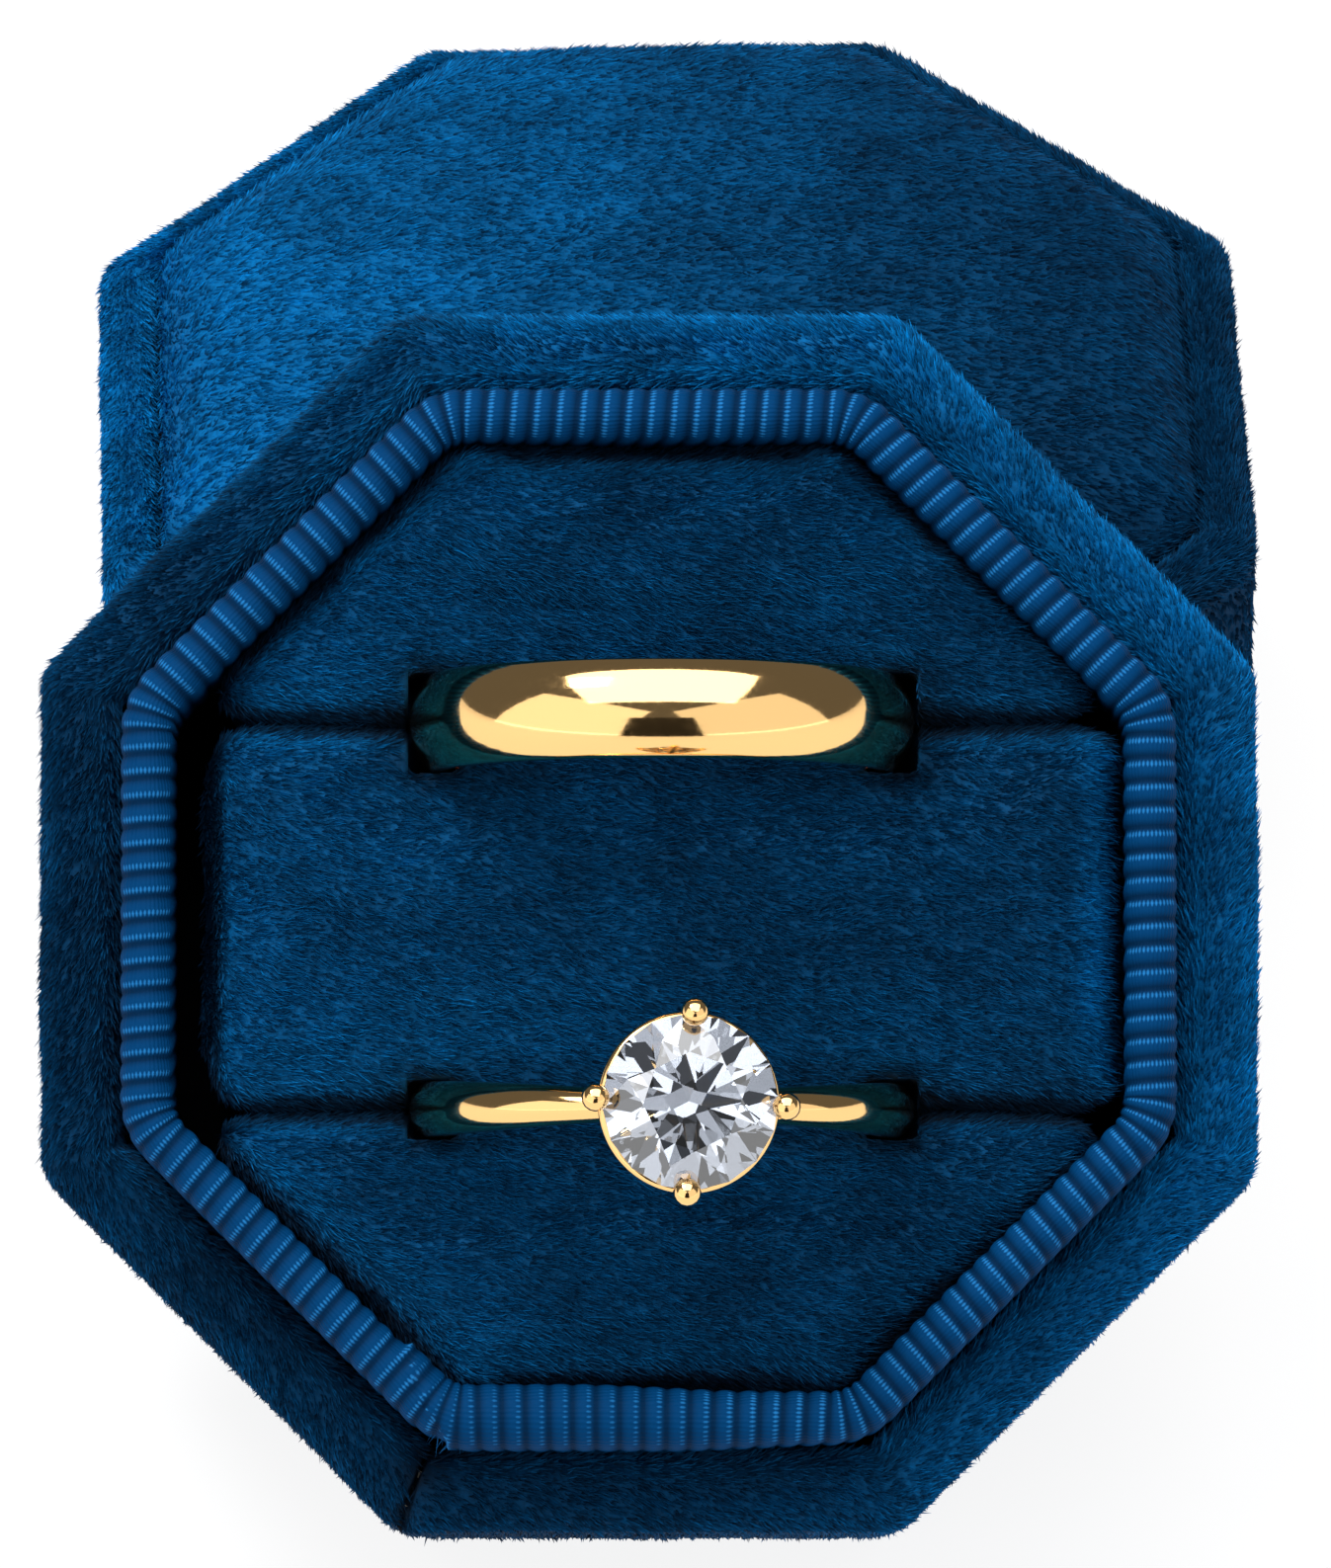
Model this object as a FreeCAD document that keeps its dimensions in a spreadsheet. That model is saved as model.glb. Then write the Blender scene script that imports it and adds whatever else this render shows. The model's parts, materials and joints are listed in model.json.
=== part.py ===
import FreeCAD, Part
import math
import os
import Sketcher

# Eight-sided velvet ring box with its lid off: the lid stands on its open rim and the base
# leans back on it, with a wedding band and a solitaire ring in the cushion's two slits.
# Millimetres, +Z up. Base pieces are drawn upright about the middle of the base's underside
# and lid pieces about the middle of the lid's open rim; a Placement sets each one down.

from FreeCAD import Placement, Rotation, Vector

DIMENSIONS = {
    "box_width": 51.0,        # across the flats, outside the velvet
    "base_height": 24.0,      # underside to the shoulder that the lid lands on
    "lid_height": 23.0,       # open rim to the rolled border round the top panel
    "lean_angle": 44.5,       # how far the base tips forward off its underside
    "lean_gap": 0.45,         # air between the base's underside and the lid's border
    "lid_turn": 1.9,          # the lid is set down slightly turned
    "lid_across": 0.35,       # and a little to one side
    "base_across": -0.65,
    "front_line": -27.85,     # world y of the base's lower front edge
    "pile": 1.0,              # velvet, backing and pile together
    "wall_round": 2.2,        # upright corners of the velvet walls
    "rim_round": 0.8,         # lower edge of the base and of the lid
    "base_board": 1.5,        # greyboard of the base's wall
    "shoulder": 3.5,          # base wall with its velvet on both faces
    "shoulder_roll": 1.6,     # velvet rolled over the shoulder
    "hem": 4.0,               # velvet turned under the base
    "skirt": 10.0,            # velvet turned down inside the base's wall
    "floor_board": 2.0,
    "collar_width": 43.8,     # across the flats, outside the ribbon
    "collar_rise": 4.5,       # collar above the shoulder
    "collar_card": 1.2,
    "collar_round": 3.6,
    "ribbon": 0.5,
    "ribbon_drop": 9.0,       # ribbon down each side of the collar
    "cushion_gap": 0.2,       # between the collar and the cushion
    "cushion_card": 1.2,
    "cushion_lift": 0.1,      # card clear of the floor board
    "cushion_sink": 1.2,      # crown of the pads below the collar's top
    "pad_roll": 1.7,          # velvet rolled over the pads' edges
    "pad_pile": 0.9,
    "slit_line": 8.05,        # distance of each slit from the middle
    "slit_half": 0.1,         # half of the closed slit
    "middle_left": 18.4,      # left end of the middle pad
    "middle_right": 19.3,     # right end of the middle pad
    "ring_across": 0.55,      # both rings stand a little to one side
    "ring_width": 21.0,       # both rings, outside diameter
    "ring_sink": 1.5,         # ring centre below the pads' crown
    "ring_clear": 0.2,        # slot clearance all round a ring
    "band_width": 4.1,
    "band_wall": 1.7,
    "band_edge": 0.8,         # thickness left at the band's sides
    "shank_width": 2.3,
    "shank_neck": 1.1,        # width where the shank meets the head
    "shank_wall": 1.6,
    "shank_edge": 0.9,
    "head_roll": 4.7,         # the solitaire has rolled over in its slit
    "head_spin": -2.5,        # turn of the four prongs
    "stone_radius": 3.7,
    "stone_table": 2.05,
    "stone_crown": 1.15,
    "stone_girdle": 0.25,
    "stone_pavilion": 3.2,
    "stone_lift": 3.6,        # girdle above the top of the shank
    "prong_radius": 0.42,
    "prong_foot": 0.9,        # distance of the prongs' feet from the head's axis
    "prong_reach": 4.0,       # distance of the prongs' tips from the head's axis
    "tip_radius": 0.52,
    "gallery_radius": 2.35,
    "gallery_wire": 0.26,
    "lid_board": 1.2,
    "lid_border": 2.6,        # rolled border round the lid's top panel
    "lid_roll": 1.3,          # rounding of that border
    "lid_recess": 1.5,        # depth of the panel's seat below the border
    "lid_roof": 1.2,
    "lid_clearance": 0.2,     # lid's lining clear of the collar
    "ceiling_card": 0.7,
    "ceiling_pad": 1.2,
    "panel_gap": 0.2,         # groove between the border and the panel
    "panel_card": 0.8,
    "panel_rise": 2.6,        # crown of the panel above the border
    "panel_roll": 3.1,
}

OCTAGON = 8
HALF_CORNER = math.radians(180.0 / OCTAGON)
CORNER_SEARCH = 0.05
SMALL_ROUND = "0.6"

doc = FreeCAD.newDocument("ring_box")
sheet = doc.addObject("Spreadsheet::Sheet", "Dims")
for row, (alias, number) in enumerate(DIMENSIONS.items(), start=1):
    sheet.set(f"A{row}", alias)
    sheet.set(f"B{row}", str(number))
    sheet.setAlias(f"B{row}", alias)
doc.recompute()

probe = doc.addObject("App::FeaturePython", "Probe")
probe.addProperty("App::PropertyFloat", "Result")
SUBPARTS = []


def measure(expression):
    """The number that an expression over the sheet comes to."""
    probe.setExpression("Result", expression)
    probe.recompute()
    return probe.Result


# ---- sketching ------------------------------------------------------------------------

def sketch_on(body, name, role, level="0"):
    """An empty sketch on one of the body's origin planes, moved out along its normal."""
    plane = next(item for item in body.Origin.OriginFeatures if item.Role == role)
    sketch = body.newObject("Sketcher::SketchObject", name)
    sketch.AttachmentSupport = (plane, [""])
    sketch.MapMode = "FlatFace"
    sketch.setExpression("AttachmentOffset.Base.z", level)
    return sketch


def pin_point(sketch, geometry, point, across, along):
    """Fixes one point of the sketch by two expressions, measured from its origin."""
    for kind, text in (("DistanceX", across), ("DistanceY", along)):
        constraint = Sketcher.Constraint(kind, -1, 1, geometry, point, measure(text))
        sketch.setExpression(f"Constraints[{sketch.addConstraint(constraint)}]", text)


def octagon_sketch(body, name, across, level):
    """A regular octagon with its flats square to X and Y, sized across the flats."""
    sketch = sketch_on(body, name, "XY_Plane", level)
    radius = measure(across) / 2 / math.cos(HALF_CORNER)
    circle = sketch.addGeometry(Part.Circle(Vector(), Vector(0, 0, 1), radius), True)
    turns = [(2 * index + 1) * HALF_CORNER for index in range(OCTAGON + 1)]
    corners = [Vector(radius * math.cos(turn), radius * math.sin(turn), 0) for turn in turns]
    lines = []
    for start, end in zip(corners, corners[1:]):
        lines.append(sketch.addGeometry(Part.LineSegment(start, end), False))
    sketch.addConstraint(Sketcher.Constraint("Coincident", circle, 3, -1, 1))
    for line, following in zip(lines, lines[1:] + lines[:1]):
        sketch.addConstraint(Sketcher.Constraint("Coincident", line, 2, following, 1))
        sketch.addConstraint(Sketcher.Constraint("PointOnObject", line, 1, circle))
    for line in lines[1:]:
        sketch.addConstraint(Sketcher.Constraint("Equal", lines[0], line))
    sketch.addConstraint(Sketcher.Constraint("Horizontal", lines[1]))
    size = sketch.addConstraint(Sketcher.Constraint("Radius", circle, radius))
    sketch.setExpression(f"Constraints[{size}]", f"({across}) / 2 / cos(22.5)")
    return sketch


def outline_sketch(body, name, role, points, level="0"):
    """A closed outline of straight sides through points given as pairs of expressions."""
    sketch = sketch_on(body, name, role, level)
    corners = [Vector(measure(across), measure(along), 0) for across, along in points]
    count = len(corners)
    for index in range(count):
        side = Part.LineSegment(corners[index], corners[(index + 1) % count])
        sketch.addGeometry(side, False)
    for index, (across, along) in enumerate(points):
        joint = Sketcher.Constraint("Coincident", index, 2, (index + 1) % count, 1)
        sketch.addConstraint(joint)
        pin_point(sketch, index, 1, across, along)
    return sketch


def ring_sketch(body, name, width, inner, edge, outer):
    """Half section of a ring about Y: flat inside, straight sides, domed outside."""
    half = f"({width}) / 2"
    dome = f"({outer}) - ({edge})"
    radius = f"(({half}) ^ 2 + ({dome}) ^ 2) / (2 * ({dome}))"
    points = [(edge, f"-{half}"), (inner, f"-{half}"), (inner, half), (edge, half)]
    corners = [Vector(measure(across), measure(along), 0) for across, along in points]
    sketch = sketch_on(body, name, "XY_Plane")
    for start, end in zip(corners, corners[1:]):
        sketch.addGeometry(Part.LineSegment(start, end), False)
    crown = Vector(measure(outer), 0, 0)
    sketch.addGeometry(Part.Arc(corners[0], crown, corners[3]), False)
    for line in (0, 1):
        sketch.addConstraint(Sketcher.Constraint("Coincident", line, 2, line + 1, 1))
    sketch.addConstraint(Sketcher.Constraint("Coincident", 2, 2, 3, 2))
    sketch.addConstraint(Sketcher.Constraint("Coincident", 0, 1, 3, 1))
    for line, (across, along) in enumerate(points[:3]):
        pin_point(sketch, line, 1, across, along)
    pin_point(sketch, 2, 2, edge, half)
    size = sketch.addConstraint(Sketcher.Constraint("Radius", 3, measure(radius)))
    sketch.setExpression(f"Constraints[{size}]", radius)
    return sketch


# ---- features -------------------------------------------------------------------------

def pad(body, sketch, length):
    """Raises the sketch by a length."""
    feature = body.newObject("PartDesign::Pad", sketch.Name + "_pad")
    feature.Profile = sketch
    feature.setExpression("Length", length)
    doc.recompute()
    return feature


def pocket_up(body, sketch, length):
    """Cuts from the sketch along its normal, and makes sure that something was cut."""
    before = body.Shape.Volume
    feature = body.newObject("PartDesign::Pocket", sketch.Name + "_pocket")
    feature.Profile = sketch
    feature.setExpression("Length", length)
    feature.Reversed = True
    doc.recompute()
    if body.Shape.Volume >= before:
        raise RuntimeError(f"{feature.Name} cuts nothing")
    return feature


def revolve(body, sketch):
    """Turns the sketch once about its own vertical axis."""
    feature = body.newObject("PartDesign::Revolution", sketch.Name + "_turn")
    feature.Profile = sketch
    feature.ReferenceAxis = (sketch, ["V_Axis"])
    feature.Angle = 360.0
    doc.recompute()
    return feature


def round_edges(body, name, radius, test):
    """Rounds the edges of the body's tip that pass the test."""
    tip = body.Tip
    edges = [f"Edge{rank}" for rank, edge in enumerate(tip.Shape.Edges, 1) if test(edge)]
    if not edges:
        raise RuntimeError(f"{name} finds no edge")
    feature = body.newObject("PartDesign::Fillet", name)
    feature.Base = (tip, edges)
    feature.setExpression("Radius", radius)
    doc.recompute()
    return feature


def upright(low=0.0, high=math.inf):
    """Tests for upright edges between two distances from the axis."""
    def test(edge):
        box = edge.BoundBox
        away = math.hypot(box.Center.x, box.Center.y)
        return max(box.XLength, box.YLength) < box.ZLength / 100 and low < away < high
    return test


def level_at(height, low=0.0):
    """Tests for level edges at one height, further than a distance from the axis."""
    def test(edge):
        box = edge.BoundBox
        middle = edge.valueAt((edge.FirstParameter + edge.LastParameter) / 2)
        away = math.hypot(middle.x, middle.y)
        return box.ZLength < 1e-4 and abs(box.ZMin - height) < 1e-4 and away > low
    return test


def octagon_block(name, across, bottom, height, corner=SMALL_ROUND):
    """A body: an octagonal block with rounded upright corners."""
    body = doc.addObject("PartDesign::Body", name)
    pad(body, octagon_sketch(body, name + "_outline", across, bottom), height)
    round_edges(body, name + "_corners", corner, upright())
    return body


def hollow(body, name, across, bottom, height, corner=SMALL_ROUND):
    """Cuts an octagonal hollow with rounded corners out of a body."""
    pocket_up(body, octagon_sketch(body, name, across, bottom), height)
    reach = measure(across) / 2 / math.cos(HALF_CORNER)
    test = upright(reach - CORNER_SEARCH, reach + CORNER_SEARCH)
    round_edges(body, name + "_corners", corner, test)


def octagon_tube(name, outer, inner, bottom, height, corner, inner_corner=SMALL_ROUND):
    """A body: an octagonal block with an octagonal hollow right through it."""
    body = octagon_block(name, outer, bottom, height, corner)
    hollow(body, name + "_inside", inner, bottom, height, inner_corner)
    return body


def cut(name, base, *tools):
    """One solid less others."""
    for number, tool in enumerate(tools):
        result = doc.addObject("Part::Cut", f"{name}_cut{number}")
        result.Base = base
        result.Tool = tool
        base = result
    doc.recompute()
    return base


def fuse(name, shapes):
    """Several solids joined into one."""
    result = doc.addObject("Part::MultiFuse", name)
    result.Shapes = shapes
    doc.recompute()
    return result


def primitive(kind, name, place, **sizes):
    """A Part primitive with its sizes bound to expressions, at a placement."""
    thing = doc.addObject("Part::" + kind, name)
    for size, expression in sizes.items():
        thing.setExpression(size, expression)
    thing.Placement = place
    return thing


def keep(label, thing, place):
    """Sets a finished piece down and marks it as a sub-part under its own label."""
    thing.Label = label
    thing.Placement = place.multiply(thing.Placement)
    SUBPARTS.append(thing)


# ---- where things stand ---------------------------------------------------------------

def base_place():
    """The base, tipped forward about its lower front edge, which touches the table."""
    lean = math.radians(measure("Dims.lean_angle"))
    half = measure("Dims.box_width") / 2
    rounding = measure("Dims.rim_round") * (math.sin(lean) + math.cos(lean) - 1)
    middle = Vector(
        measure("Dims.base_across"),
        measure("Dims.front_line") + half * math.cos(lean),
        half * math.sin(lean) - rounding,
    )
    return Placement(middle, Rotation(Vector(1, 0, 0), measure("Dims.lean_angle")))


def lid_place():
    """The lid, on its rim, with its front border just clear of the base's underside."""
    lean = math.radians(measure("Dims.lean_angle"))
    roll = measure("Dims.lid_roll")
    under = base_place().Base
    rise = measure("Dims.lid_height") - roll - under.z
    reach = (rise * math.cos(lean) + roll + measure("Dims.lean_gap")) / math.sin(lean)
    middle = Vector(
        measure("Dims.lid_across"),
        under.y + reach - roll + measure("Dims.box_width") / 2,
        0,
    )
    return Placement(middle, Rotation(Vector(0, 0, 1), measure("Dims.lid_turn")))


def in_base(across, along, up):
    """A placement at a point of the upright base, tipped with it."""
    return BASE.multiply(Placement(Vector(across, along, up), Rotation()))


BASE = base_place()
LID = lid_place()

# ---- base shell -----------------------------------------------------------------------

BOARD_OUT = "Dims.box_width - 2 * Dims.pile"
BOARD_ROUND = "Dims.wall_round - Dims.pile"
BASE_IN = "Dims.box_width - 2 * Dims.pile - 2 * Dims.base_board"
HEM_IN = "Dims.box_width - 2 * Dims.hem"
SKIRT_FOOT = "(Dims.base_height - Dims.pile - Dims.skirt)"


def base_wall_board(name):
    height = "Dims.base_height - 2 * Dims.pile"
    return octagon_tube(name, BOARD_OUT, BASE_IN, "Dims.pile", height, BOARD_ROUND)


def base_wall_velvet():
    """One strip: hemmed underneath, up the wall, over the shoulder and down inside."""
    body = octagon_block(
        "base_velvet", "Dims.box_width", "0", "Dims.base_height", "Dims.wall_round"
    )
    hollow(body, "base_hem", HEM_IN, "0", "Dims.pile")
    hollow(body, "base_inside", BASE_IN, "Dims.pile", f"{SKIRT_FOOT} - Dims.pile")
    mouth = "Dims.box_width - 2 * Dims.shoulder"
    hollow(body, "base_mouth", mouth, SKIRT_FOOT, "Dims.pile + Dims.skirt")
    top = level_at(measure("Dims.base_height"))
    round_edges(body, "base_shoulder", "Dims.shoulder_roll", top)
    rim = level_at(0.0, low=measure(HEM_IN) / 2 + 2)
    round_edges(body, "base_lower_edge", "Dims.rim_round", rim)
    return cut("base_wall_velvet", body, base_wall_board("base_board_space"))


def build_base():
    floor = octagon_block("base_floor", BASE_IN, "Dims.pile", "Dims.floor_board")
    underside = octagon_block("base_underside", HEM_IN, "0", "Dims.pile")
    keep("base_wall_velvet", base_wall_velvet(), BASE)
    keep("base_wall_board", base_wall_board("base_board"), BASE)
    keep("base_floor_board", floor, BASE)
    keep("base_underside_velvet", underside, BASE)


# ---- collar ---------------------------------------------------------------------------

COLLAR_TOP = "(Dims.base_height + Dims.collar_rise)"
COLLAR_FOOT = "(Dims.pile + Dims.floor_board)"
CARD_OUT = "(Dims.collar_width - 2 * Dims.ribbon)"
CARD_IN = f"({CARD_OUT} - 2 * Dims.collar_card)"
COLLAR_IN = f"({CARD_IN} - 2 * Dims.ribbon)"


def collar_board(name):
    return octagon_tube(
        name,
        CARD_OUT,
        CARD_IN,
        COLLAR_FOOT,
        f"{COLLAR_TOP} - Dims.ribbon - {COLLAR_FOOT}",
        "Dims.collar_round - Dims.ribbon",
        "Dims.collar_round - Dims.ribbon - Dims.collar_card",
    )


def collar_ribbon():
    """Ribbed ribbon folded over the collar's top edge."""
    body = octagon_tube(
        "ribbon",
        "Dims.collar_width",
        COLLAR_IN,
        f"{COLLAR_TOP} - Dims.ribbon_drop",
        "Dims.ribbon_drop",
        "Dims.collar_round",
        "Dims.collar_round - 2 * Dims.ribbon - Dims.collar_card",
    )
    round_edges(body, "ribbon_fold", "0.9 * Dims.ribbon", level_at(measure(COLLAR_TOP)))
    return cut("collar_ribbon", body, collar_board("collar_space"))


def build_collar():
    keep("collar_board", collar_board("collar"), BASE)
    keep("collar_ribbon", collar_ribbon(), BASE)


# ---- cushion --------------------------------------------------------------------------

CUSHION_OUT = f"({COLLAR_IN} - 2 * Dims.cushion_gap)"
CARD_FOOT = f"({COLLAR_FOOT} + Dims.cushion_lift)"
PAD_FOOT = f"({CARD_FOOT} + Dims.cushion_card)"
PAD_CROWN = f"({COLLAR_TOP} - Dims.cushion_sink)"
RING_UP = f"({PAD_CROWN} - Dims.ring_sink)"
BACK, FRONT = 1, -1


def end_outline(side, inset):
    """The back or front pad: the slice of the octagon beyond one slit."""
    flat = f"({CUSHION_OUT} / 2 - {inset})"
    near = f"(Dims.slit_line + Dims.slit_half + {inset})"
    corner = f"({flat} * tan(22.5))"
    wide = f"({flat} + {corner} - {near})"
    near, far = f"({side} * {near})", f"({side} * {flat})"
    return [(f"-{wide}", near), (wide, near), (corner, far), (f"-{corner}", far)]


def middle_outline(inset):
    """The middle pad: a rectangle between the slits, a little short of the collar."""
    left = f"-(Dims.middle_left - {inset})"
    right = f"(Dims.middle_right - {inset})"
    edge = f"(Dims.slit_line - Dims.slit_half - {inset})"
    return [(left, f"-{edge}"), (right, f"-{edge}"), (right, edge), (left, edge)]


def ring_space(name, side, width, inset):
    """Room for a ring standing in a slit, with clearance, and open above its middle."""
    radius = f"(Dims.ring_width / 2 + Dims.ring_clear + {inset})"
    half = f"(({width}) / 2 + Dims.ring_clear + {inset})"
    across = measure("Dims.ring_across")
    start = side * measure("Dims.slit_line") - measure(half)
    drum_place = Placement(
        Vector(across, start, measure(RING_UP)), Rotation(Vector(1, 0, 0), -90)
    )
    box_place = Placement(
        Vector(across - measure(radius), start, measure(RING_UP)), Rotation()
    )
    drum = primitive("Cylinder", name + "_drum", drum_place, Radius=radius, Height=f"2 * {half}")
    box = primitive(
        "Box",
        name + "_way_in",
        box_place,
        Length=f"2 * {radius}",
        Width=f"2 * {half}",
        Height="2 * Dims.ring_sink",
    )
    return fuse(name, [drum, box])


def pad_block(name, outline, inset, rings):
    """A pad, or with an inset the foam inside its velvet, with room for its rings."""
    body = doc.addObject("PartDesign::Body", name)
    sketch = outline_sketch(body, name + "_outline", "XY_Plane", outline(inset), PAD_FOOT)
    pad(body, sketch, f"{PAD_CROWN} - {inset} - {PAD_FOOT}")
    round_edges(body, name + "_corners", "Dims.pad_pile", upright())
    crown = level_at(measure(f"{PAD_CROWN} - {inset}"))
    round_edges(body, name + "_roll", f"Dims.pad_roll - {inset} / 2", crown)
    spaces = [
        ring_space(f"{name}_ring{number}", side, width, inset)
        for number, (side, width) in enumerate(rings)
    ]
    return cut(name, body, *spaces)


def build_cushion():
    band = (BACK, "Dims.band_width")
    shank = (FRONT, "Dims.shank_width")
    card = octagon_block("cushion", CUSHION_OUT, CARD_FOOT, "Dims.cushion_card")
    keep("cushion_card", card, BASE)
    pads = {
        "back": (lambda inset: end_outline(BACK, inset), [band]),
        "middle": (middle_outline, [band, shank]),
        "front": (lambda inset: end_outline(FRONT, inset), [shank]),
    }
    for name, (outline, rings) in pads.items():
        whole = pad_block(f"{name}_whole", outline, "0", rings)
        space = pad_block(f"{name}_space", outline, "Dims.pad_pile", rings)
        foam = pad_block(f"{name}_core", outline, "Dims.pad_pile", rings)
        keep(f"{name}_pad_velvet", cut(f"{name}_velvet", whole, space), BASE)
        keep(f"{name}_pad_foam", foam, BASE)


# ---- rings ----------------------------------------------------------------------------

RING_RADIUS = "(Dims.ring_width / 2)"
GIRDLE_UP = f"({RING_RADIUS} + Dims.stone_lift)"


def ring_body(name, width, wall, edge):
    """A plain ring about Y, domed outside."""
    body = doc.addObject("PartDesign::Body", name)
    inner = f"{RING_RADIUS} - {wall}"
    side = f"{RING_RADIUS} - {wall} + {edge}"
    revolve(body, ring_sketch(body, name + "_section", width, inner, side, RING_RADIUS))
    return body


def shank(name):
    """The solitaire's shank: its sides draw in towards the head."""
    body = ring_body(name, "Dims.shank_width", "Dims.shank_wall", "Dims.shank_edge")
    wide = "(Dims.shank_width / 2)"
    for number, side in enumerate((1, -1)):
        outline = [
            (f"-{RING_RADIUS}", f"{side} * {wide}"),
            ("0", f"{side} * Dims.shank_neck / 2"),
            (RING_RADIUS, f"{side} * {wide}"),
            (RING_RADIUS, f"{side} * 2 * {wide}"),
            (f"-{RING_RADIUS}", f"{side} * 2 * {wide}"),
        ]
        draw_in = outline_sketch(body, f"{name}_neck{number}", "XY_Plane", outline)
        pocket_up(body, draw_in, f"2 * {RING_RADIUS}")
    return body


def stone(name):
    """A round brilliant as its turned outline: table, crown, girdle and pavilion."""
    body = doc.addObject("PartDesign::Body", name)
    upper = f"({GIRDLE_UP} + Dims.stone_girdle / 2)"
    lower = f"({GIRDLE_UP} - Dims.stone_girdle / 2)"
    outline = [
        ("0", f"{lower} - Dims.stone_pavilion"),
        ("Dims.stone_radius", lower),
        ("Dims.stone_radius", upper),
        ("Dims.stone_table", f"{upper} + Dims.stone_crown"),
        ("0", f"{upper} + Dims.stone_crown"),
    ]
    revolve(body, outline_sketch(body, name + "_section", "XZ_Plane", outline))
    return body


def head_wires():
    """Four leaning prongs with ball tips, a gallery ring and a cup on the shank."""
    foot_up = measure(f"{RING_RADIUS} + Dims.gallery_wire")
    tip_up = measure(f"{GIRDLE_UP} + Dims.tip_radius")
    foot, reach = measure("Dims.prong_foot"), measure("Dims.prong_reach")
    slope = math.degrees(math.atan2(reach - foot, tip_up - foot_up))
    run = math.hypot(reach - foot, tip_up - foot_up)
    wires = []
    for quarter in range(4):
        spin = Placement(
            Vector(), Rotation(Vector(0, 0, 1), measure("Dims.head_spin") + 90 * quarter)
        )
        lean = Placement(Vector(foot, 0, foot_up), Rotation(Vector(0, 1, 0), slope))
        prong = primitive(
            "Cylinder", f"prong{quarter}", spin.multiply(lean), Radius="Dims.prong_radius"
        )
        prong.Height = run
        tip = Placement(Vector(reach, 0, tip_up), Rotation())
        ball = primitive(
            "Sphere", f"tip{quarter}", spin.multiply(tip), Radius="Dims.tip_radius"
        )
        wires += [prong, ball]
    gallery = measure("Dims.gallery_radius")
    gallery_up = foot_up + (gallery - foot) / math.tan(math.radians(slope))
    ring = primitive(
        "Torus",
        "gallery",
        Placement(Vector(0, 0, gallery_up), Rotation()),
        Radius1="Dims.gallery_radius",
        Radius2="Dims.gallery_wire",
    )
    cup = primitive(
        "Cone",
        "cup",
        Placement(Vector(0, 0, measure(f"{RING_RADIUS} - Dims.gallery_wire")), Rotation()),
        Radius1="Dims.shank_neck / 2",
        Radius2="Dims.prong_foot + Dims.prong_radius",
        Height="3 * Dims.gallery_wire",
    )
    return wires + [ring, cup]


def build_rings():
    across = measure("Dims.ring_across")
    line = measure("Dims.slit_line")
    up = measure(RING_UP)
    band = ring_body("band", "Dims.band_width", "Dims.band_wall", "Dims.band_edge")
    keep("wedding_band", band, in_base(across, BACK * line, up))
    roll = Placement(Vector(), Rotation(Vector(0, 1, 0), measure("Dims.head_roll")))
    solitaire = in_base(across, FRONT * line, up).multiply(roll)
    head = cut("head", fuse("head_whole", head_wires()), stone("seat"), shank("saddle"))
    keep("solitaire_shank", shank("shank"), solitaire)
    keep("solitaire_head", head, solitaire)
    keep("solitaire_stone", stone("stone"), solitaire)


# ---- lid ------------------------------------------------------------------------------

LID_BOARD_IN = "(Dims.box_width - 2 * Dims.pile - 2 * Dims.lid_board)"
LID_MOUTH = "(Dims.collar_width + 2 * Dims.lid_clearance)"
ROOF_TOP = "(Dims.lid_height - Dims.lid_recess)"
ROOF_FOOT = f"({ROOF_TOP} - Dims.lid_roof)"
BORDER_IN = "(Dims.box_width - 2 * Dims.lid_border)"
PANEL_OUT = f"({BORDER_IN} - 2 * Dims.panel_gap)"
PANEL_IN = f"({PANEL_OUT} - 2 * Dims.pile)"
PANEL_CROWN = "(Dims.lid_height + Dims.panel_rise)"


def lid_wall_board(name):
    height = "Dims.lid_height - 2 * Dims.pile"
    return octagon_tube(name, BOARD_OUT, LID_BOARD_IN, "Dims.pile", height, BOARD_ROUND)


def lid_wall_velvet():
    """One strip: in at the rim, up the wall, over the border and down to the roof."""
    body = octagon_block(
        "lid_velvet", "Dims.box_width", "0", "Dims.lid_height", "Dims.wall_round"
    )
    hollow(body, "lid_rim", LID_MOUTH, "0", "Dims.pile")
    hollow(body, "lid_inside", LID_BOARD_IN, "Dims.pile", f"{ROOF_TOP} - Dims.pile")
    hollow(body, "lid_seat", BORDER_IN, ROOF_TOP, "Dims.lid_recess")
    border = level_at(measure("Dims.lid_height"), low=measure(BORDER_IN) / 2 + 1.9)
    round_edges(body, "lid_border_roll", "Dims.lid_roll", border)
    rim = level_at(0.0, low=measure(LID_MOUTH) / 2 + 2)
    round_edges(body, "lid_lower_edge", "Dims.rim_round", rim)
    return cut("lid_wall_velvet", body, lid_wall_board("lid_board_space"))


def panel_core(name, bottom, height):
    """The foam on the panel's card, or both together, rounded over at the top."""
    body = octagon_block(name, PANEL_IN, bottom, height)
    crown = level_at(measure(f"{PANEL_CROWN} - Dims.pile"))
    round_edges(body, name + "_roll", "Dims.panel_roll - Dims.pile", crown)
    return body


def panel_velvet():
    """Velvet drawn over the panel's foam and down the edge of its card."""
    body = octagon_block(
        "panel_whole", PANEL_OUT, ROOF_TOP, f"{PANEL_CROWN} - {ROOF_TOP}", BOARD_ROUND
    )
    round_edges(body, "panel_edge", "Dims.panel_roll", level_at(measure(PANEL_CROWN)))
    core = panel_core("panel_space", ROOF_TOP, f"{PANEL_CROWN} - Dims.pile - {ROOF_TOP}")
    return cut("panel_velvet", body, core)


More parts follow.
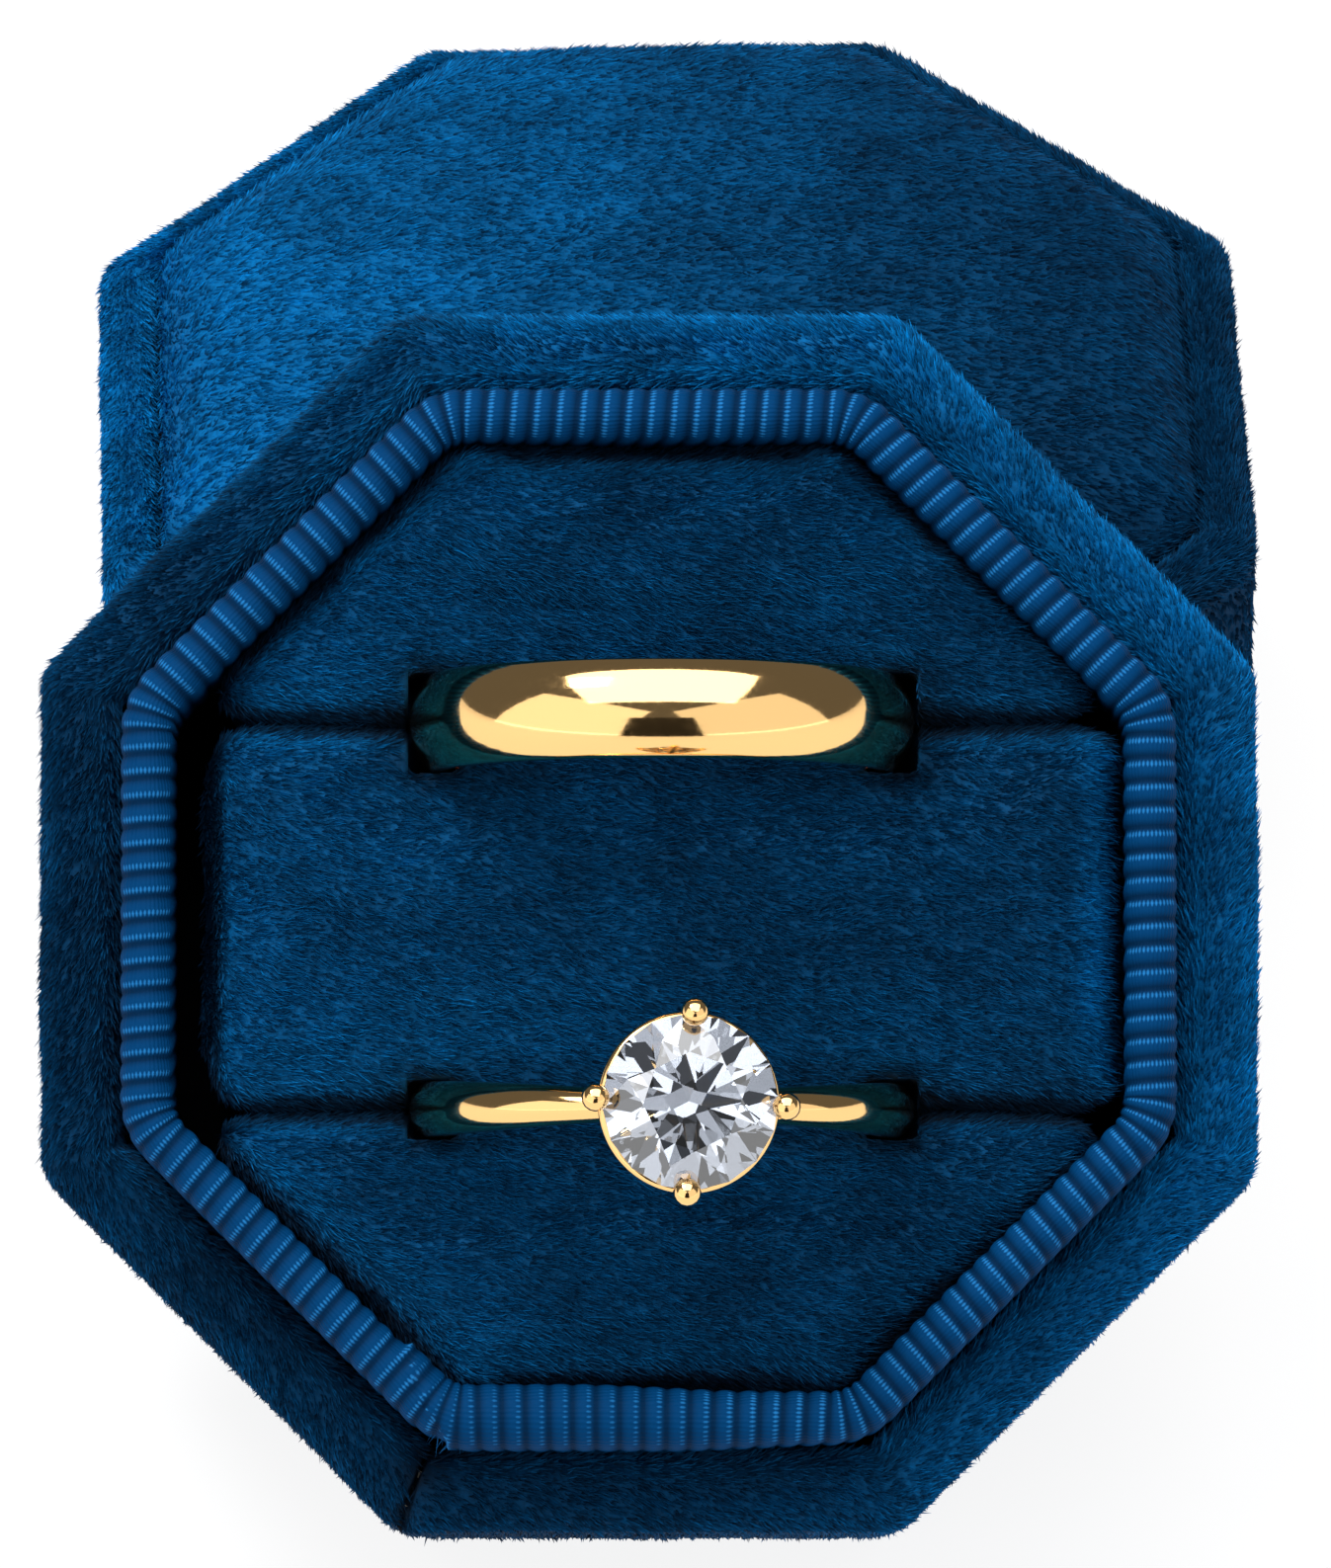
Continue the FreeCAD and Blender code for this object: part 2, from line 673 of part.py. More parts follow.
def build_lid():
    lining_height = f"{ROOF_FOOT} - Dims.pile"
    lining = octagon_tube(
        "lining", LID_BOARD_IN, LID_MOUTH, "Dims.pile", lining_height, SMALL_ROUND
    )
    roof = octagon_block("roof", LID_BOARD_IN, ROOF_FOOT, "Dims.lid_roof")
    ceiling = octagon_block(
        "ceiling", LID_MOUTH, f"{ROOF_FOOT} - Dims.ceiling_card", "Dims.ceiling_card"
    )
    ceiling_foot = f"({ROOF_FOOT} - Dims.ceiling_card - Dims.ceiling_pad)"
    satin = octagon_block("ceiling_satin", LID_MOUTH, ceiling_foot, "Dims.ceiling_pad")
    round_edges(satin, "ceiling_roll", "Dims.ceiling_pad / 2", level_at(measure(ceiling_foot)))
    card = octagon_block("panel_board", PANEL_IN, ROOF_TOP, "Dims.panel_card")
    foam_foot = f"({ROOF_TOP} + Dims.panel_card)"
    foam = panel_core("panel_core", foam_foot, f"{PANEL_CROWN} - Dims.pile - {foam_foot}")
    keep("lid_wall_velvet", lid_wall_velvet(), LID)
    keep("lid_wall_board", lid_wall_board("lid_board"), LID)
    keep("lid_roof_board", roof, LID)
    keep("lid_wall_lining", lining, LID)
    keep("lid_ceiling_card", ceiling, LID)
    keep("lid_ceiling_satin", satin, LID)
    keep("lid_panel_card", card, LID)
    keep("lid_panel_foam", foam, LID)
    keep("lid_panel_velvet", panel_velvet(), LID)


# ---- checks and files -----------------------------------------------------------------

def check_document():
    """Stops if any object has failed or any sub-part has no sound solid."""
    doc.recompute()
    for thing in doc.Objects:
        if {"Invalid", "Error"} & set(thing.State):
            raise RuntimeError(f"{thing.Name} is {thing.State}")
    for thing in SUBPARTS:
        shape = thing.Shape
        if shape.isNull() or not shape.isValid() or len(shape.Solids) != 1:
            raise RuntimeError(f"{thing.Label} is not one sound solid")


def write_parts():
    """Writes each sub-part to a file of its own, named after its label."""
    os.makedirs("parts", exist_ok=True)
    for thing in SUBPARTS:
        thing.Shape.exportStep(os.path.join("parts", thing.Label + ".step"))
        box = thing.Shape.BoundBox
        print(f"{thing.Label}: {thing.Shape.Volume:.1f} mm3, z {box.ZMin:.2f} to {box.ZMax:.2f}")


build_base()
build_collar()
build_cushion()
build_rings()
build_lid()
check_document()
write_parts()
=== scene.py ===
"""Eight-sided velvet ring box, lid off, with a wedding band and a solitaire in its slits.

Lengths are in millimetres in each piece's own upright frame, and a Seat turns them into
metres in the row's frame.
"""

import json
import logging
import math
from dataclasses import dataclass, field
from enum import Enum
from typing import Any, Callable, Optional, Sequence

import bpy
import numpy as np
from mathutils import Matrix, Vector


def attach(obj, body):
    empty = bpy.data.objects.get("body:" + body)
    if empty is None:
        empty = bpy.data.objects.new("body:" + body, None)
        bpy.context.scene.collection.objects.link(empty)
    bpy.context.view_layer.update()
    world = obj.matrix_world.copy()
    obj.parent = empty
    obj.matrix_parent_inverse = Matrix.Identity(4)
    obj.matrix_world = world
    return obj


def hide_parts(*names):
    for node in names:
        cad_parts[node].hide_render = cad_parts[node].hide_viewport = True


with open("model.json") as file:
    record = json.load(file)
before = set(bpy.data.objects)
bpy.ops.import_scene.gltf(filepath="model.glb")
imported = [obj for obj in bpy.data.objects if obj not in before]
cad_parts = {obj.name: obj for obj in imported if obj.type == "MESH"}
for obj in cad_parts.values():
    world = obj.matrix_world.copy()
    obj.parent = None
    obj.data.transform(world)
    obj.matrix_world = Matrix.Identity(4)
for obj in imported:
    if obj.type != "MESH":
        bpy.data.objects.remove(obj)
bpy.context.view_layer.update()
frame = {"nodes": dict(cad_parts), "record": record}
LOG = logging.getLogger("ring_box")
MM = 0.001
OCTAGON = 8
HALF_CORNER = math.pi / OCTAGON
Array = np.ndarray


# ---- numbers and fields ---------------------------------------------------------------

def linear(colour: str) -> tuple[float, float, float, float]:
    """Turns an sRGB hex colour into linear light.

    Args:
        colour: six hex digits after a hash sign.

    Returns:
        Red, green, blue and an alpha of one.
    """
    parts = [int(colour[place:place + 2], 16) / 255 for place in (1, 3, 5)]
    light = [p / 12.92 if p <= 0.04045 else ((p + 0.055) / 1.055) ** 2.4 for p in parts]
    return (light[0], light[1], light[2], 1.0)


def unit(vectors: Array) -> Array:
    """Scales each row to length one."""
    return vectors / np.maximum(np.linalg.norm(vectors, axis=-1, keepdims=True), 1e-12)


def smooth_step(low: float, high: float, value: Array) -> Array:
    """Rises from 0 at low to 1 at high as 3t^2 - 2t^3."""
    share = np.clip((value - low) / (high - low), 0.0, 1.0)
    return share * share * (3.0 - 2.0 * share)


def soft_noise(points: Array, cell: float, seed: int) -> Array:
    """Smooth value noise: random numbers on a cubic lattice, blended by smooth steps.

    Args:
        points: (N, 3) places in millimetres.
        cell: lattice spacing in millimetres.
        seed: chooses the lattice's random numbers.

    Returns:
        (N,) values from -1 to 1.
    """
    table = np.random.default_rng(seed).uniform(-1.0, 1.0, 4096)
    scaled = points / cell
    corner = np.floor(scaled).astype(np.int64)
    share = scaled - corner
    share = share * share * (3.0 - 2.0 * share)
    total = np.zeros(len(points))
    for bits in range(8):
        step = np.array([bits & 1, bits >> 1 & 1, bits >> 2 & 1])
        place = corner + step
        key = place[:, 0] * 73856093 ^ place[:, 1] * 19349663 ^ place[:, 2] * 83492791
        weight = np.prod(np.where(step, share, 1.0 - share), axis=1)
        total += weight * table[key & 4095]
    return total


@dataclass(frozen=True)
class Seat:
    """A piece's upright frame in the row's frame: its origin and its three axes."""

    origin: Array
    axes: Array

    @classmethod
    def on_mount(cls, name: str, up: Array, spin: float = 0.0) -> "Seat":
        """Stands a seat at a named mount.

        Args:
            name: the mount.
            up: direction of the seat's +Z in the row's frame.
            spin: turn about that direction, in degrees.

        Returns:
            The seat, with +X as near to the row's +X as it can be.
        """
        mount = next(m for m in frame["record"]["mounts"] if m["name"] == name)
        up = unit(np.array(up, dtype=float))
        across = unit(np.array([1.0, 0.0, 0.0]) - up[0] * up)
        along = np.cross(up, across)
        turn = math.radians(spin)
        spun = math.cos(turn) * across + math.sin(turn) * along
        return cls(np.array(mount["pos_m"]), np.array([spun, np.cross(up, spun), up]))

    def moved(self, offset: Sequence[float], roll: float = 0.0) -> "Seat":
        """A seat at an offset in millimetres, rolled about its own +Y by degrees."""
        turn = math.radians(roll)
        across = math.cos(turn) * self.axes[0] - math.sin(turn) * self.axes[2]
        up = math.sin(turn) * self.axes[0] + math.cos(turn) * self.axes[2]
        place = self.origin + np.asarray(offset, dtype=float) * MM @ self.axes
        return Seat(place, np.array([across, self.axes[1], up]))

    def clear_of_floor(self, root: Array, tip: Array) -> Array:
        """Says which tufts, given by their roots and tips, stay above the floor."""
        return np.minimum(self.to_row(root)[:, 2], self.to_row(tip)[:, 2]) > 0.1 * MM

    def to_row(self, points: Array) -> Array:
        """Millimetres in this seat to metres in the row's frame."""
        return points * MM @ self.axes + self.origin

    def from_row(self, points: Array) -> Array:
        """Metres in the row's frame to millimetres in this seat."""
        return (points - self.origin) @ self.axes.T / MM


# ---- meshes ---------------------------------------------------------------------------

@dataclass
class Skin:
    """A surface as plain arrays, in millimetres in its seat's frame.

    Attributes:
        points: (N, 3) places.
        faces: (M, 3) or (M, 4) indices, counter-clockwise from outside.
        fields: named numbers per point, for the materials.
        smooth: whether its faces are shaded smooth.
    """

    points: Array
    faces: Array
    fields: dict[str, Array] = field(default_factory=dict)
    smooth: bool = True

    def triangles(self) -> Array:
        """The faces as triangles, quads cut along one diagonal."""
        if self.faces.shape[1] == 3:
            return self.faces
        return np.concatenate([self.faces[:, [0, 1, 2]], self.faces[:, [0, 2, 3]]])

    def normals(self) -> Array:
        """Unit normals per point: the sum of its faces' area normals."""
        tri = self.triangles()
        a, b, c = (self.points[tri[:, k]] for k in range(3))
        area = np.cross(b - a, c - a)
        total = np.zeros_like(self.points)
        for k in range(3):
            np.add.at(total, tri[:, k], area)
        return unit(total)


def grid_skin(points: Array, wrap_rows: bool, wrap_columns: bool, **fields: Array) -> Skin:
    """Turns a grid of points into quads.

    Args:
        points: (rows, columns, 3) places.
        wrap_rows: joins the last row to the first.
        wrap_columns: joins the last column to the first.
        **fields: (rows, columns) numbers that go with the points.

    Returns:
        The surface, with faces turning from rows to columns.
    """
    rows, columns = points.shape[:2]
    index = np.arange(rows * columns).reshape(rows, columns)
    if wrap_rows:
        index = np.concatenate([index, index[:1]])
    if wrap_columns:
        index = np.concatenate([index, index[:, :1]], axis=1)
    quads = np.stack([index[:-1, :-1], index[:-1, 1:], index[1:, 1:], index[1:, :-1]], -1)
    flat = {name: np.broadcast_to(value, (rows, columns)).ravel() for name, value in fields.items()}
    return Skin(points.reshape(-1, 3), quads.reshape(-1, 4), flat)


def close_poles(skin: Skin, columns: int) -> Skin:
    """Caps the first and the last ring of a grid with a fan to its middle."""
    first, last = np.arange(columns), len(skin.points) - columns + np.arange(columns)
    centres = np.array([skin.points[first].mean(axis=0), skin.points[last].mean(axis=0)])
    low, high = len(skin.points), len(skin.points) + 1
    fans = np.concatenate([
        np.stack([np.full(columns, low), np.roll(first, -1), first], -1),
        np.stack([np.full(columns, high), last, np.roll(last, -1)], -1),
    ])
    fields = {
        name: np.concatenate([value, [value[first].mean(), value[last].mean()]])
        for name, value in skin.fields.items()
    }
    points = np.concatenate([skin.points, centres])
    return Skin(points, np.concatenate([skin.triangles(), fans]), fields)


def build_piece(
    name: str, seat: Seat, skins: Sequence[Skin], materials: Sequence[bpy.types.Material]
) -> bpy.types.Object:
    """Puts surfaces into one mesh object at the row's origin.

    Args:
        name: the piece's name.
        seat: where the surfaces' millimetres are.
        skins: the surfaces, one material each.
        materials: as many materials as surfaces.

    Returns:
        The object, linked to the scene.
    """
    starts = np.cumsum([0] + [len(skin.points) for skin in skins])
    points = seat.to_row(np.concatenate([skin.points for skin in skins]))
    corners = [(skin.faces + start).ravel() for skin, start in zip(skins, starts)]
    sizes = np.concatenate([np.full(len(s.faces), s.faces.shape[1]) for s in skins])
    slots = np.concatenate([np.full(len(s.faces), k) for k, s in enumerate(skins)])
    smooth = np.concatenate([np.full(len(s.faces), s.smooth) for s in skins])
    mesh = bpy.data.meshes.new(name)
    mesh.vertices.add(len(points))
    mesh.vertices.foreach_set("co", points.astype(np.float32).ravel())
    loops = np.concatenate(corners).astype(np.int32)
    mesh.loops.add(len(loops))
    mesh.loops.foreach_set("vertex_index", loops)
    mesh.polygons.add(len(sizes))
    starts_of_faces = np.concatenate([[0], np.cumsum(sizes)[:-1]]).astype(np.int32)
    mesh.polygons.foreach_set("loop_start", starts_of_faces)
    for material in dict.fromkeys(materials):
        mesh.materials.append(material)
    order = [list(dict.fromkeys(materials)).index(material) for material in materials]
    mesh.polygons.foreach_set("material_index", np.array(order)[slots].astype(np.int32))
    mesh.polygons.foreach_set("use_smooth", smooth)
    for key in sorted({key for skin in skins for key in skin.fields}):
        values = [skin.fields.get(key, np.zeros(len(skin.points))) for skin in skins]
        layer = mesh.attributes.new(key, "FLOAT", "POINT")
        layer.data.foreach_set("value", np.concatenate(values).astype(np.float32))
    mesh.update()
    mesh.validate()
    thing = bpy.data.objects.new(name, mesh)
    bpy.context.scene.collection.objects.link(thing)
    LOG.info("%s: %d faces", name, len(mesh.polygons))
    return thing


def hang(piece: bpy.types.Object, body: str, slot: str, *nodes: str) -> None:
    """Puts a piece on its body, in place of the CAD nodes it stands for."""
    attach(piece, body)
    if nodes:
        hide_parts(*nodes)


# ---- octagons -------------------------------------------------------------------------

@dataclass(frozen=True)
class OctagonLoop:
    """A walk round an octagon whose flats are square to X and Y.

    A point at apothem a with corner radius r is (a - r) times the spine plus r times the
    normal. The spine runs along a sharp octagon of apothem one and waits at each corner
    while the normal turns through it.
    """

    side_steps: int
    corner_steps: int

    def walk(self) -> tuple[Array, Array]:
        """The spine and the normals, each (M, 2)."""
        side = np.linspace(-1.0, 1.0, self.side_steps, endpoint=False) * math.tan(HALF_CORNER)
        turn = np.linspace(0.0, 1.0, self.corner_steps, endpoint=False) * 2 * HALF_CORNER
        sway = np.concatenate([side, np.full(self.corner_steps, math.tan(HALF_CORNER))])
        lean = np.concatenate([np.zeros(self.side_steps), turn])
        start = np.arange(OCTAGON)[:, None] * 2 * HALF_CORNER
        facing = np.stack([np.cos(start), np.sin(start)], -1)
        tangent = np.stack([-np.sin(start), np.cos(start)], -1)
        spine = facing + sway[None, :, None] * tangent
        angle = start + lean[None, :]
        normal = np.stack([np.cos(angle), np.sin(angle)], -1)
        return spine.reshape(-1, 2), normal.reshape(-1, 2)

    def sweep(self, apothem: Array, radius: Array, height: Array) -> Array:
        """Carries a profile round the octagon.

        Args:
            apothem: (rows,) or (rows, M) distance of the flats from the axis.
            radius: (rows,) or (rows, M) radius of the rounded corners.
            height: (rows,) or (rows, M) height.

        Returns:
            (rows, M, 3) points.
        """
        spine, normal = self.walk()
        apothem, radius, height = (
            value.reshape(len(value), -1)[:, :, None] for value in (apothem, radius, height)
        )
        reach = (apothem - radius) * spine + radius * normal
        level = np.broadcast_to(height, reach.shape[:2] + (1,))
        return np.concatenate([reach, level], axis=-1)

    def run(self, apothem: float, radius: float) -> Array:
        """Distance walked along one outline, (M,)."""
        points = self.sweep(np.array([apothem]), np.array([radius]), np.zeros(1))[0]
        steps = np.linalg.norm(np.diff(points, axis=0, append=points[:1]), axis=1)
        return np.concatenate([[0.0], np.cumsum(steps)[:-1]])


def held_in(points: Array, wall: float) -> Array:
    """Draws points in to an octagon's flats at a distance from the axis."""
    held = points.copy()
    for index in range(OCTAGON):
        angle = index * 2 * HALF_CORNER
        facing = np.array([math.cos(angle), math.sin(angle), 0.0])
        held -= np.maximum(held @ facing - wall, 0.0)[:, None] * facing
    return held


def rounded_path(corners: Sequence[tuple[float, float, float]], step: float) -> Array:
    """A closed path through corners, each rounded by an arc, in even steps.

    The arc at a corner starts and ends its radius times the tangent of half the turn away
    from it, and its centre lies on the inside of the turn.

    Args:
        corners: (across, up, radius) of each corner in order.
        step: spacing of the points.

    Returns:
        (N, 2) points.
    """
    places = np.array([corner[:2] for corner in corners])
    pieces = []
    for k, (_, _, radius) in enumerate(corners):
        before = unit(places[k - 1] - places[k])
        after = unit(places[(k + 1) % len(places)] - places[k])
        opening = math.acos(float(np.clip(before @ after, -1.0, 1.0)))
        away = radius / math.tan(opening / 2)
        start, end = places[k] + away * before, places[k] + away * after
        middle = places[k] + unit(before + after) * radius / math.sin(opening / 2)
        count = max(2, int(radius * (math.pi - opening) / step) + 1)
        share = np.linspace(0.0, 1.0, count)[:, None]
        chord = (1 - share) * (start - middle) + share * (end - middle)
        pieces.append(middle + unit(chord) * radius if radius > 0 else places[k:k + 1])
    rough = np.concatenate(pieces)
    closed = np.concatenate([rough, rough[:1]])
    length = np.concatenate([[0.0], np.cumsum(np.linalg.norm(np.diff(closed, axis=0), axis=1))])
    count = int(length[-1] / step)
    spots = np.linspace(0.0, length[-1], count, endpoint=False)
    return np.stack([np.interp(spots, length, closed[:, k]) for k in (0, 1)], -1)


# ---- velvet pile ----------------------------------------------------------------------

@dataclass(frozen=True)
class Pile:
    """Velvet pile: closed four-faced tufts that lie over along the nap.

    Attributes:
        length: length of a tuft.
        width: width of a tuft at its root.
        lean: angle of a tuft off the surface's normal, in degrees.
        stray: how far tufts wander from their neighbours, 0 to 1.
        swirl: how far whole patches of nap turn, in radians.
        seed: chooses the tufts.
    """

    length: float = 0.62
    width: float = 0.085
    lean: float = 70.0
    stray: float = 0.2
    swirl: float = 0.4
    seed: int = 1

    def grow(
        self,
        skin: Skin,
        nap: Array,
        density: Array,
        most: int,
        keep: Optional[Callable[[Array, Array], Array]] = None,
    ) -> Skin:
        """Plants tufts on a surface.

        Each root is a random point of a triangle chosen by its area times its density. A
        tuft points along the normal's and the nap's blend at the lean angle, turned by
        patches of smooth noise and by a little of its own.

        Args:
            skin: the surface.
            nap: (N, 3) direction that the pile lies in, per point.
            density: (N,) tufts per square millimetre.
            most: the most tufts there may be.
            keep: a test of roots and tips that says which tufts stay.

        Returns:
            The tufts, with fields pile_tip (0 at roots, 1 at tips), pile_tone and the
            surface's painted light and shade.
        """
        rng = np.random.default_rng(self.seed)
        tri = skin.triangles()
        a, b, c = (skin.points[tri[:, k]] for k in range(3))
        share = 0.5 * np.linalg.norm(np.cross(b - a, c - a), axis=1) * density[tri].mean(axis=1)
        count = min(most, int(share.sum()))
        chosen = tri[rng.choice(len(tri), count, p=share / share.sum())]
        mix = rng.dirichlet((1.0, 1.0, 1.0), count)[:, :, None]
        root = (skin.points[chosen] * mix).sum(axis=1)
        normal = unit((skin.normals()[chosen] * mix).sum(axis=1))
        flow = (nap[chosen] * mix).sum(axis=1)
        flow = unit(flow - (flow * normal).sum(axis=1, keepdims=True) * normal)
        swirl = 0.6 * soft_noise(root, 2.6, self.seed) + 0.7 * soft_noise(root, 0.8, self.seed + 1)
        turn = self.swirl * swirl + self.stray * rng.normal(size=count)
        side = np.cross(normal, flow)
        flow = np.cos(turn)[:, None] * flow + np.sin(turn)[:, None] * side
        clump = soft_noise(root, 0.55, self.seed + 2)
        lean = np.radians(self.lean + 9.0 * clump + 8.0 * rng.normal(size=count))[:, None]
        aim = unit(np.cos(lean) * normal + np.sin(lean) * flow)
        length = self.length * (0.85 + 0.2 * clump + 0.18 * rng.normal(size=count))
        length = np.clip(length, 0.35 * self.length, 1.5 * self.length)[:, None]
        tip = root + length * aim
        tone = np.clip(0.45 + 0.24 * rng.normal(size=count) + 0.16 * clump, 0.0, 1.0)
        light = (skin.fields["nap_light"][chosen] * mix[:, :, 0]).sum(axis=1)
        if keep is not None:
            good = keep(root, tip)
            root, tip, aim, normal, tone, light = (
                value[good] for value in (root, tip, aim, normal, tone, light)
            )
        tufts = self.tufts(root, tip, aim, normal)
        tufts.fields["pile_tone"] = np.repeat(tone, 4)
        tufts.fields["nap_light"] = np.repeat(light, 4)
        return tufts

    def tufts(self, root: Array, tip: Array, aim: Array, normal: Array) -> Skin:
        """Builds one slim three-sided spike, closed at its root, for each tuft."""
        across = unit(np.cross(aim, normal)) * self.width / 2
        low = root - 0.08 * self.length * normal
        points = np.stack([low + across, low - across, low + 1.3 * self.width * normal, tip], 1)
        shape = np.array([[0, 2, 1], [0, 1, 3], [1, 2, 3], [2, 0, 3]])
        faces = np.arange(len(root))[:, None, None] * 4 + shape[None]
        fields = {"pile_tip": np.tile([0.2, 0.2, 0.45, 1.0], len(root))}
        return Skin(points.reshape(-1, 3), faces.reshape(-1, 3), fields, smooth=False)


# ---- materials ------------------------------------------------------------------------

Settings = dict[str, Any]
Socket = bpy.types.NodeSocket


def add_node(
    tree: bpy.types.NodeTree, kind: str, settings: Optional[Settings] = None, **inputs: Any
) -> bpy.types.Node:
    """Adds a shader node.

    Args:
        tree: the material's node tree.
        kind: the node's type, without its ShaderNode prefix.
        settings: the node's own properties.
        **inputs: socket values by name, with underscores for spaces, or by _ and number.
            A value that is another node's socket is linked.

    Returns:
        The node.
    """
    node = tree.nodes.new("ShaderNode" + kind)
    for name, value in (settings or {}).items():
        setattr(node, name, value)
    for name, value in inputs.items():
        socket = node.inputs[int(name[1:]) if name[0] == "_" else name.replace("_", " ")]
        if isinstance(value, bpy.types.NodeSocket):
            tree.links.new(value, socket)
        else:
            socket.default_value = value
    return node


def ramp(
    tree: bpy.types.NodeTree,
    value: Socket,
    source: tuple[float, float],
    target: tuple[float, float] = (0.0, 1.0),
) -> Socket:
    """A value carried from one range to another in a straight line, held at both ends."""
    (low, high), (first, last) = source, target
    node = add_node(
        tree, "MapRange", Value=value, From_Min=low, From_Max=high, To_Min=first, To_Max=last
    )
    return node.outputs["Result"]


def mixed(tree: bpy.types.NodeTree, share: Socket, low: str, high: str) -> Socket:
    """A blend of two sRGB hex colours."""
    ends = {"_6": linear(low), "_7": linear(high)}
    return add_node(tree, "Mix", {"data_type": "RGBA"}, _0=share, **ends).outputs[2]


def maths(tree: bpy.types.NodeTree, operation: str, *values: Any) -> Socket:
    """What a math node makes of its values."""
    sockets = {f"_{place}": value for place, value in enumerate(values)}
    return add_node(tree, "Math", {"operation": operation}, **sockets).outputs[0]


def scaled(tree: bpy.types.NodeTree, colour: Socket, gain: Socket) -> Socket:
    """A colour made lighter or darker."""
    node = add_node(tree, "VectorMath", {"operation": "SCALE"}, Vector=colour, Scale=gain)
    return node.outputs["Vector"]


def fields(tree: bpy.types.NodeTree, *names: str) -> list[Socket]:
    """The mesh's own fields."""
    return [
        add_node(tree, "Attribute", {"attribute_name": name}).outputs["Fac"] for name in names
    ]


def per_mm(size: float) -> float:
    """Scale of a pattern on metre coordinates whose features are a size in millimetres."""
    return 1.0 / (size * MM)


def blank(name: str) -> tuple[bpy.types.Material, bpy.types.NodeTree, bpy.types.NodeSocket]:
    """A material with an empty tree: the material, its tree and its surface socket."""
    material = bpy.data.materials.new(name)
    material.use_nodes = True
    tree = material.node_tree
    tree.nodes.clear()
    surface = add_node(tree, "OutputMaterial").inputs["Surface"]
    return material, tree, surface


@dataclass(frozen=True)
class VelvetFinish:
    """Short cut velvet: painted shade makes it deep between the tufts and towards their roots, and
    it is saturated at their tips.

    Painted light and shade, which the mesh's light field holds, make it lighter or darker by
    how each part lies to the light; it also varies in soft patches where it has been stroked.
    """

    name: str
    # Painted shade colour deep in the pile, at the tufts' roots and on the ground between them.
    root: str = "#001A36"
    tip: str = "#0070B4"
    sheen: float = 0.06
    stroke_mm: float = 5.0
    fleck_mm: float = 0.16

    def make(self) -> bpy.types.Material:
        """Builds the material from the pile's own fields."""
        material, tree, surface = blank(self.name)
        place = add_node(tree, "TexCoord").outputs["Object"]
        tip, tone, light = fields(tree, "pile_tip", "pile_tone", "nap_light")
        stroke = self.wander(tree, place, self.stroke_mm, 0.76, 1.26)
        fleck = self.wander(tree, place, self.fleck_mm, 0.72, 1.3)
        own = ramp(tree, tone, (0.1, 1.0), (0.4, 1.9))
        # Painted shade: the colour runs from the dark root colour deep in the pile to the tip
        # colour.
        colour = mixed(tree, tip, self.root, self.tip)
        patchy = maths(tree, "MULTIPLY", stroke, fleck)
        # Painted light and shade from the light field, times the stroked patches and each tuft's
        # own tone.
        gain = maths(tree, "MULTIPLY", maths(tree, "MULTIPLY", patchy, own), light)
        shaded = scaled(tree, colour, gain)
        shader = add_node(tree, "BsdfPrincipled", Base_Color=shaded, Roughness=0.7)
        shader.inputs["Specular IOR Level"].default_value = 0.06
        shader.inputs["Sheen Weight"].default_value = self.sheen
        shader.inputs["Sheen Roughness"].default_value = 0.3
        shader.inputs["Sheen Tint"].default_value = linear("#2C8CD6")
        tree.links.new(shader.outputs["BSDF"], surface)
        return material

    def wander(
        self, tree: bpy.types.NodeTree, place: Socket, size_mm: float, low: float, high: float
    ) -> Socket:
        """A gain that wanders from low to high in patches of one size."""
        noise = add_node(tree, "TexNoise", Vector=place, Scale=per_mm(size_mm), Detail=2.0)
        return ramp(tree, noise.outputs["Fac"], (0.3, 0.7), (low, high))


@dataclass(frozen=True)
class RibbonFinish:
    """Polyester grosgrain: round ribs, and on each a painted highlight line, toothed by the warp
    stitches; painted shade darkens the valleys.
    """

    name: str
    colour: str = "#00325C"
    # Colour of the painted highlight line on each rib.
    line: str = "#1E6CAA"
    thread_mm: float = 0.16

    def make(self) -> bpy.types.Material:
        """Builds the material: warp threads run along the ribbon, over the ribs."""
        material, tree, surface = blank(self.name)
        run, rise, glint_share, swell = fields(tree, "run_mm", "rise_mm", "rib_crest", "rib_swell")
        where = add_node(tree, "CombineXYZ", X=run, Y=rise).outputs["Vector"]
        thread = maths(tree, "SINE", maths(tree, "MULTIPLY", rise, 2 * math.pi / self.thread_mm))
        fuzz = add_node(tree, "TexNoise", Vector=where, Scale=4.0, Detail=3.0).outputs["Fac"]
        height = maths(tree, "MULTIPLY_ADD", thread, 0.5, fuzz)
        toothed = maths(tree, "MULTIPLY_ADD", thread, 0.2, glint_share)
        ragged = maths(tree, "MULTIPLY_ADD", fuzz, 0.3, toothed)
        # Painted highlight: the line colour where the rib's glint share, toothed by the threads, is
        # high.
        colour = mixed(tree, ramp(tree, ragged, (0.88, 1.3)), self.colour, self.line)
        # Painted shade: darker in the ribs' valleys and on the ribbon's back, lighter on the ribs'
        # crowns.
        colour = scaled(tree, colour, ramp(tree, swell, (0.3, 1.0), (0.45, 1.15)))
        bump = add_node(tree, "Bump", Height=height, Strength=0.6, Distance=0.03 * MM)
        shader = add_node(
            tree,
            "BsdfPrincipled",
            Base_Color=colour,
            Roughness=0.6,
            Normal=bump.outputs["Normal"],
        )
        shader.inputs["Specular IOR Level"].default_value = 0.03
        tree.links.new(shader.outputs["BSDF"], surface)
        return material


